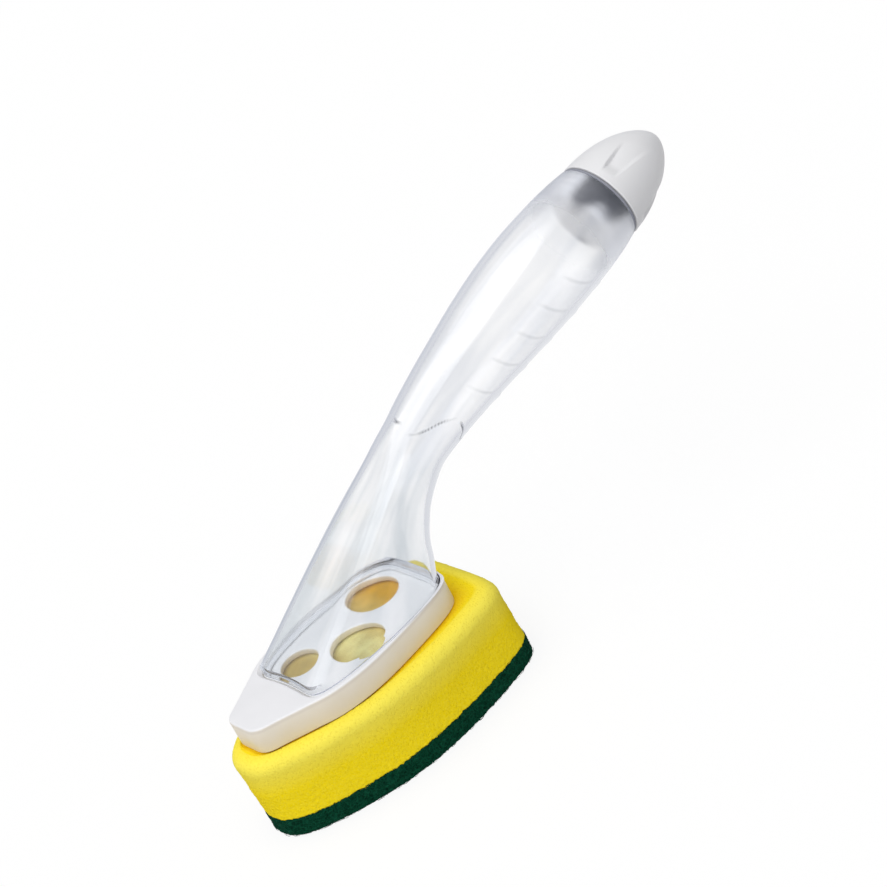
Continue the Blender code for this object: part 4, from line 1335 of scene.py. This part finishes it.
def make_foam_block(material):
    """Yellow foam: rounded crown, drawn-in sides, pores, and a plateau inside the tray's skirt."""
    base = PAD_THICKNESS + SEAT_GAP / 2
    shoulder = TRAY_BASE_Z - SEAT_GAP
    round_z = shoulder - FOAM_EDGE_ROUND
    rings, reliefs = [], []

    def row(outline, z, relief):
        rings.append(at_level(outline, z))
        reliefs.append(relief)

    inner = sponge_outline(FOAM_EDGE_ROUND, PAD_TIP_DRAW)
    centre = [Vector((p.x * FOAM_CENTRE_SHARE, 0.0)) for p in inner]
    for share in FOAM_BASE_SHARES:
        row([c.lerp(p, share) for c, p in zip(centre, inner)], base, 0.0)
    row(inner, base, 0.0)
    for z in steps_between(base, round_z, FOAM_ROW):
        s = (z - base) / (round_z - base)
        tip = PAD_TIP_DRAW * max(0.0, 1 - 2 * s)
        heel = FOAM_HEEL_DRAW / 2 * max(0.0, 2 * s - 1)
        outline = sponge_outline(FOAM_SIDE_DRAW * 4 * s * (1 - s), tip, heel)
        row(outline, z, FOAM_LOW_RELIEF - FOAM_SIDE_LOSS * s)
    for turn in quarter_turns(FOAM_ROUND_ROWS)[1:]:
        heel = FOAM_HEEL_DRAW / 2 * (1 + math.sin(turn))
        drop = FOAM_EDGE_ROUND * (1 - math.cos(turn))
        rise = (FOAM_EDGE_ROUND + FOAM_CREST_RISE) * math.sin(turn)
        relief = FOAM_ROUND_RELIEF - FOAM_ROUND_LOSS * math.sin(turn)
        row(sponge_outline(drop, heel_draw=heel), round_z + rise, relief)
    edge = sponge_outline(FOAM_EDGE_ROUND, heel_draw=FOAM_HEEL_DRAW)
    seat = tray_outline(-SEAT_GAP, SPONGE_STEPS)
    for i in range(1, FOAM_TOP_ROWS + 1):
        share = i / FOAM_TOP_ROWS
        past_crest = max(0.0, (share - FOAM_CREST_SHARE) / (1 - FOAM_CREST_SHARE))
        z = shoulder + FOAM_CREST_RISE * (1 - past_crest**2)
        row([a.lerp(b, share) for a, b in zip(edge, seat)], z, FOAM_TOP_RELIEF * (1 - share))
    plateau = tray_outline(TRAY_WALL + SEAT_GAP, SPONGE_STEPS)
    row(plateau, shoulder, 0.0)
    row(plateau, TRAY_CEILING_Z - SEAT_GAP, 0.0)
    middle = [Vector((p.x, 0.0)) for p in plateau]
    seat_z = TRAY_CEILING_Z - FOAM_SEAT_DROP
    for i in range(1, FOAM_SEAT_ROWS + 1):
        share = i / FOAM_SEAT_ROWS
        row([p.lerp(c, share) for p, c in zip(plateau, middle)], seat_z, FOAM_SEAT_RELIEF)
    bm = skin(rings, reliefs=reliefs)

    def relief_below_tray(place):
        relief = foam_relief(place)
        return min(relief, 0.0) if place.z > shoulder + FOAM_SEAT_FROM else relief

    displace(bm, relief_below_tray)
    settle_edge(bm, base)
    return finish_piece("foam_block", bm, material, sharp_deg=0)


def settle_edge(bm, level):
    """Lets the edge between foam and pad wander: rows near it follow its line."""
    for vert in bm.verts:
        off = abs(vert.co.z - level)
        if off < EDGE_REACH:
            vert.co.z += (boundary_level(vert.co) - PAD_THICKNESS) * (1 - off / EDGE_REACH)
            vert.co.z = max(vert.co.z, 0.0)


def pad_relief(place):
    """Matted surface of the nonwoven: lumps and finer fluff, never far out."""
    lumps = noise.noise(place / PAD_LUMP)
    fluff = noise.noise(place / PAD_FLUFF)
    return PAD_RELIEF * (PAD_LUMP_SHARE * lumps + PAD_FLUFF_SHARE * fluff - PAD_SINK_SHARE)


def make_nonwoven_pad(material):
    """Green scouring pad, flat below, under the whole foam."""
    rings, reliefs = [], []
    top = PAD_THICKNESS - SEAT_GAP / 2
    inner = sponge_outline(PAD_EDGE_ROUND, PAD_TIP_DRAW)
    centre = [Vector((p.x * PAD_CENTRE_SHARE, 0.0)) for p in inner]
    for i in range(PAD_FACE_ROWS):
        share = 1 - (1 - i / PAD_FACE_ROWS) ** PAD_FACE_POWER
        rings.append(at_level([c.lerp(p, share) for c, p in zip(centre, inner)], 0.0))
        reliefs.append(0.0)
    for turn in quarter_turns(PAD_ROUND_STEPS):
        inset = PAD_EDGE_ROUND * (1 - math.sin(turn))
        outline = sponge_outline(inset, PAD_TIP_DRAW)
        rings.append(at_level(outline, PAD_EDGE_ROUND * (1 - math.cos(turn))))
        reliefs.append(math.sin(turn))
    for z in steps_between(PAD_EDGE_ROUND, top, FOAM_ROW)[1:]:
        rings.append(at_level(sponge_outline(tip_draw=PAD_TIP_DRAW), z))
        reliefs.append(1.0)
    for share in PAD_TOP_SHARES:
        rings.append(at_level([c.lerp(p, share) for c, p in zip(centre, inner)], top))
        reliefs.append(0.0)
    bm = skin(rings, reliefs=reliefs)
    displace(bm, pad_relief)
    settle_edge(bm, top)
    return finish_piece("nonwoven_pad", bm, material, sharp_deg=0)


def make_pad_fibres(material):
    """Loose strands on the pad's side, each a short bent thread lying on the surface."""
    draws = random.Random(FIBRE_SEED)
    outline = sponge_outline(tip_draw=PAD_TIP_DRAW)
    count = len(outline)
    curve = bpy.data.curves.new("pad_fibres", "CURVE")
    curve.dimensions = "3D"
    curve.bevel_depth = FIBRE_THICKNESS / 2
    curve.bevel_resolution = 0
    curve.use_fill_caps = True
    for _ in range(FIBRE_COUNT):
        i = draws.randrange(count)
        here = outline[i]
        tangent = (outline[(i + 1) % count] - outline[i - 1]).normalized()
        outward = Vector((-tangent.y, tangent.x, 0))
        tangent = Vector((tangent.x, tangent.y, 0))
        slope = draws.gauss(0, FIBRE_SLOPE)
        along = (tangent * math.cos(slope) + Vector((0, 0, math.sin(slope)))).normalized()
        across = outward.cross(along)
        level = draws.uniform(FIBRE_LOW, PAD_THICKNESS - FIBRE_TOP_GAP)
        middle = Vector((here.x, here.y, level))
        length = FIBRE_LENGTH * draws.uniform(FIBRE_SHORTEST_SHARE, 1.0)
        bow = FIBRE_BOW * draws.uniform(-1, 1)
        stand = FIBRE_STAND * draws.uniform(-FIBRE_SUNK_SHARE, 1.0)
        lift = draws.uniform(-1, 1) * FIBRE_STAND
        spline = curve.splines.new("POLY")
        spline.points.add(FIBRE_POINTS - 1)
        for k, point in enumerate(spline.points):
            s = 2 * k / (FIBRE_POINTS - 1) - 1
            place = middle + along * (length / 2 * s) + across * (bow * (1 - s * s))
            place += outward * (stand + lift * s - FIBRE_TUCK * s * s)
            place.z = held(place.z, FIBRE_THICKNESS, PAD_THICKNESS + FIBRE_OVER)
            point.co = (*place, 1.0)
    tube = bpy.data.objects.new("pad_fibres", curve)
    mesh = bpy.data.meshes.new_from_object(tube)
    bpy.data.objects.remove(tube)
    mesh.materials.clear()
    mesh.materials.append(material)
    return linked("pad_fibres", mesh)


# Camera, lamps, backdrop

def make_camera():
    """Camera at the photograph's angle: turned, raised and rolled about the place it looks at."""
    data = bpy.data.cameras.new("photo_camera")
    data.sensor_width = SENSOR_WIDTH_MM
    data.lens = LENS_MM
    data.clip_start = CLIP_START
    data.clip_end = CLIP_END
    camera = linked("photo_camera", data)
    camera.matrix_world = (
        Matrix.Translation(CAMERA_AIM)
        @ Matrix.Rotation(math.radians(CAMERA_AZIMUTH_DEG), 4, "Z")
        @ Matrix.Rotation(math.radians(90 - CAMERA_ELEVATION_DEG), 4, "X")
        @ Matrix.Rotation(math.radians(CAMERA_ROLL_DEG), 4, "Z")
        @ Matrix.Translation(Vector((0, 0, CAMERA_DISTANCE)))
    )
    bpy.context.scene.camera = camera


def backdrop_rays(tree):
    """1 on rays that show the backdrop from the camera, and 1 on those off gloss or through
    clear plastic, before they meet a matt surface."""
    path = add(tree, "LightPath")
    rays = {0: path["Is Glossy Ray"], 1: path["Is Transmission Ray"]}
    bent = add(tree, "Math", rays, operation="MAXIMUM")[0]
    unspread = add(tree, "MapRange", {
        "Value": path["Diffuse Depth"], "To Min": 1.0, "To Max": 0.0,
    })["Result"]
    seen = add(tree, "Math", {0: bent, 1: unspread}, operation="MULTIPLY")[0]
    return path["Is Camera Ray"], seen


def make_world():
    """Even white surroundings: plain light on the brush, white where they are seen, and somewhat
    dimmer low down, where only the clear plastic's edges show them."""
    world = bpy.data.worlds.new("white_surroundings")
    bpy.context.scene.world = world
    world.use_nodes = True
    tree = world.node_tree
    tree.nodes.clear()
    way = add(tree, "TexCoord")["Generated"]
    rise = add(tree, "SeparateXYZ", {"Vector": way})["Z"]
    high = add(tree, "MapRange", {"Value": rise, "From Max": 0.6})["Result"]
    shade = add(tree, "Mix", {"Factor": high, 6: DIM_SURROUNDINGS, 7: "#ffffff"}, data_type="RGBA")[2]
    light = add(tree, "Background", {"Color": "#ffffff", "Strength": WORLD_LIGHT})[0]
    white = add(tree, "Background", {"Color": "#ffffff", "Strength": 1.0})[0]
    round_about = add(tree, "Background", {"Color": shade, "Strength": 1.0})[0]
    camera_ray, bent_ray = backdrop_rays(tree)
    surface = add(tree, "MixShader", {0: bent_ray, 1: light, 2: round_about})[0]
    surface = add(tree, "MixShader", {0: camera_ray, 1: surface, 2: white})[0]
    add(tree, "OutputWorld", {"Surface": surface})


def make_floor():
    """White table top that keeps a faint shadow. Off gloss and through clear plastic it is white
    near the brush and dimmer far away. It stays under the head, which stands on it, when the
    handle lifts off."""
    bm = bmesh.new()
    bmesh.ops.create_grid(bm, x_segments=1, y_segments=1, size=FLOOR_SIZE / 2)
    mesh = bpy.data.meshes.new("floor")
    bm.to_mesh(mesh)
    bm.free()
    material, tree, place = new_tree("white_table")
    away = add(tree, "VectorMath", {0: place}, operation="LENGTH")["Value"]
    far = add(tree, "MapRange", {"Value": away, "From Min": NEAR_TABLE, "From Max": FAR_TABLE})["Result"]
    shade = add(tree, "Mix", {"Factor": far, 6: "#ffffff", 7: DIM_SURROUNDINGS}, data_type="RGBA")[2]
    matt = add(tree, "BsdfDiffuse", {"Color": "#b8b8ba"})[0]
    bright = add(tree, "BsdfDiffuse", {"Color": "#ffffff"})[0]
    white = add(tree, "Emission", {"Color": "#ffffff", "Strength": 1.0})[0]
    shaded = add(tree, "Emission", {"Color": shade, "Strength": 1.0})[0]
    shadowed = add(tree, "MixShader", {0: FLOOR_SHADOW_SHARE, 1: white, 2: bright})[0]
    camera_ray, bent_ray = backdrop_rays(tree)
    surface = add(tree, "MixShader", {0: bent_ray, 1: matt, 2: shaded})[0]
    surface = add(tree, "MixShader", {0: camera_ray, 1: surface, 2: shadowed})[0]
    add(tree, "OutputMaterial", {"Surface": surface})
    material.cycles.emission_sampling = "NONE"
    mesh.materials.append(material)
    floor = linked("floor", mesh)
    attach(floor, "head")


def make_lamp(name, strength, direction, spread_deg):
    """Soft distant light from a direction."""
    data = bpy.data.lights.new(name, "SUN")
    data.energy = strength
    data.angle = math.radians(spread_deg)
    lamp = linked(name, data)
    lamp.rotation_mode = "QUATERNION"
    lamp.rotation_quaternion = direction.to_track_quat("Z", "Y")


def main():
    bpy.context.scene.view_settings.view_transform = "Standard"
    make_camera()
    make_world()
    make_floor()
    make_lamp("key_lamp", KEY_STRENGTH, KEY_DIRECTION, KEY_SPREAD_DEG)
    make_lamp("fill_lamp", FILL_STRENGTH, FILL_DIRECTION, FILL_SPREAD_DEG)

    clear = clear_styrene()
    white = white_polypropylene()
    painted_light_white = white_polypropylene_painted_light()
    grey = grey_polypropylene()
    rubber = dark_rubber()
    silicone = grey_silicone()
    foam = yellow_urethane_foam()
    green = green_nonwoven()

    show(make_clear_handle(clear), "handle", "clear_plastic", "handle_grip", "handle_foot")
    show(make_screw_cap(white), "cap", "white_plastic", "end_cap")
    show(make_threaded_plug(grey), "cap", "grey_plastic", "cap_plug")
    show(make_rim_gasket(rubber), "cap_ring", "dark_rubber", "cap_gasket")
    show(make_foot_gasket(silicone), "head", "dark_rubber", "foot_seal")
    show(make_white_tray(painted_light_white), "head", "white_plastic", "base_tray")
    block = show(make_foam_block(foam), "head", "yellow_foam", "foam_sponge")
    pad = show(make_nonwoven_pad(green), "head", "green_nonwoven", "scouring_pad")
    show(make_pad_fibres(green), "head", "green_nonwoven")


main()
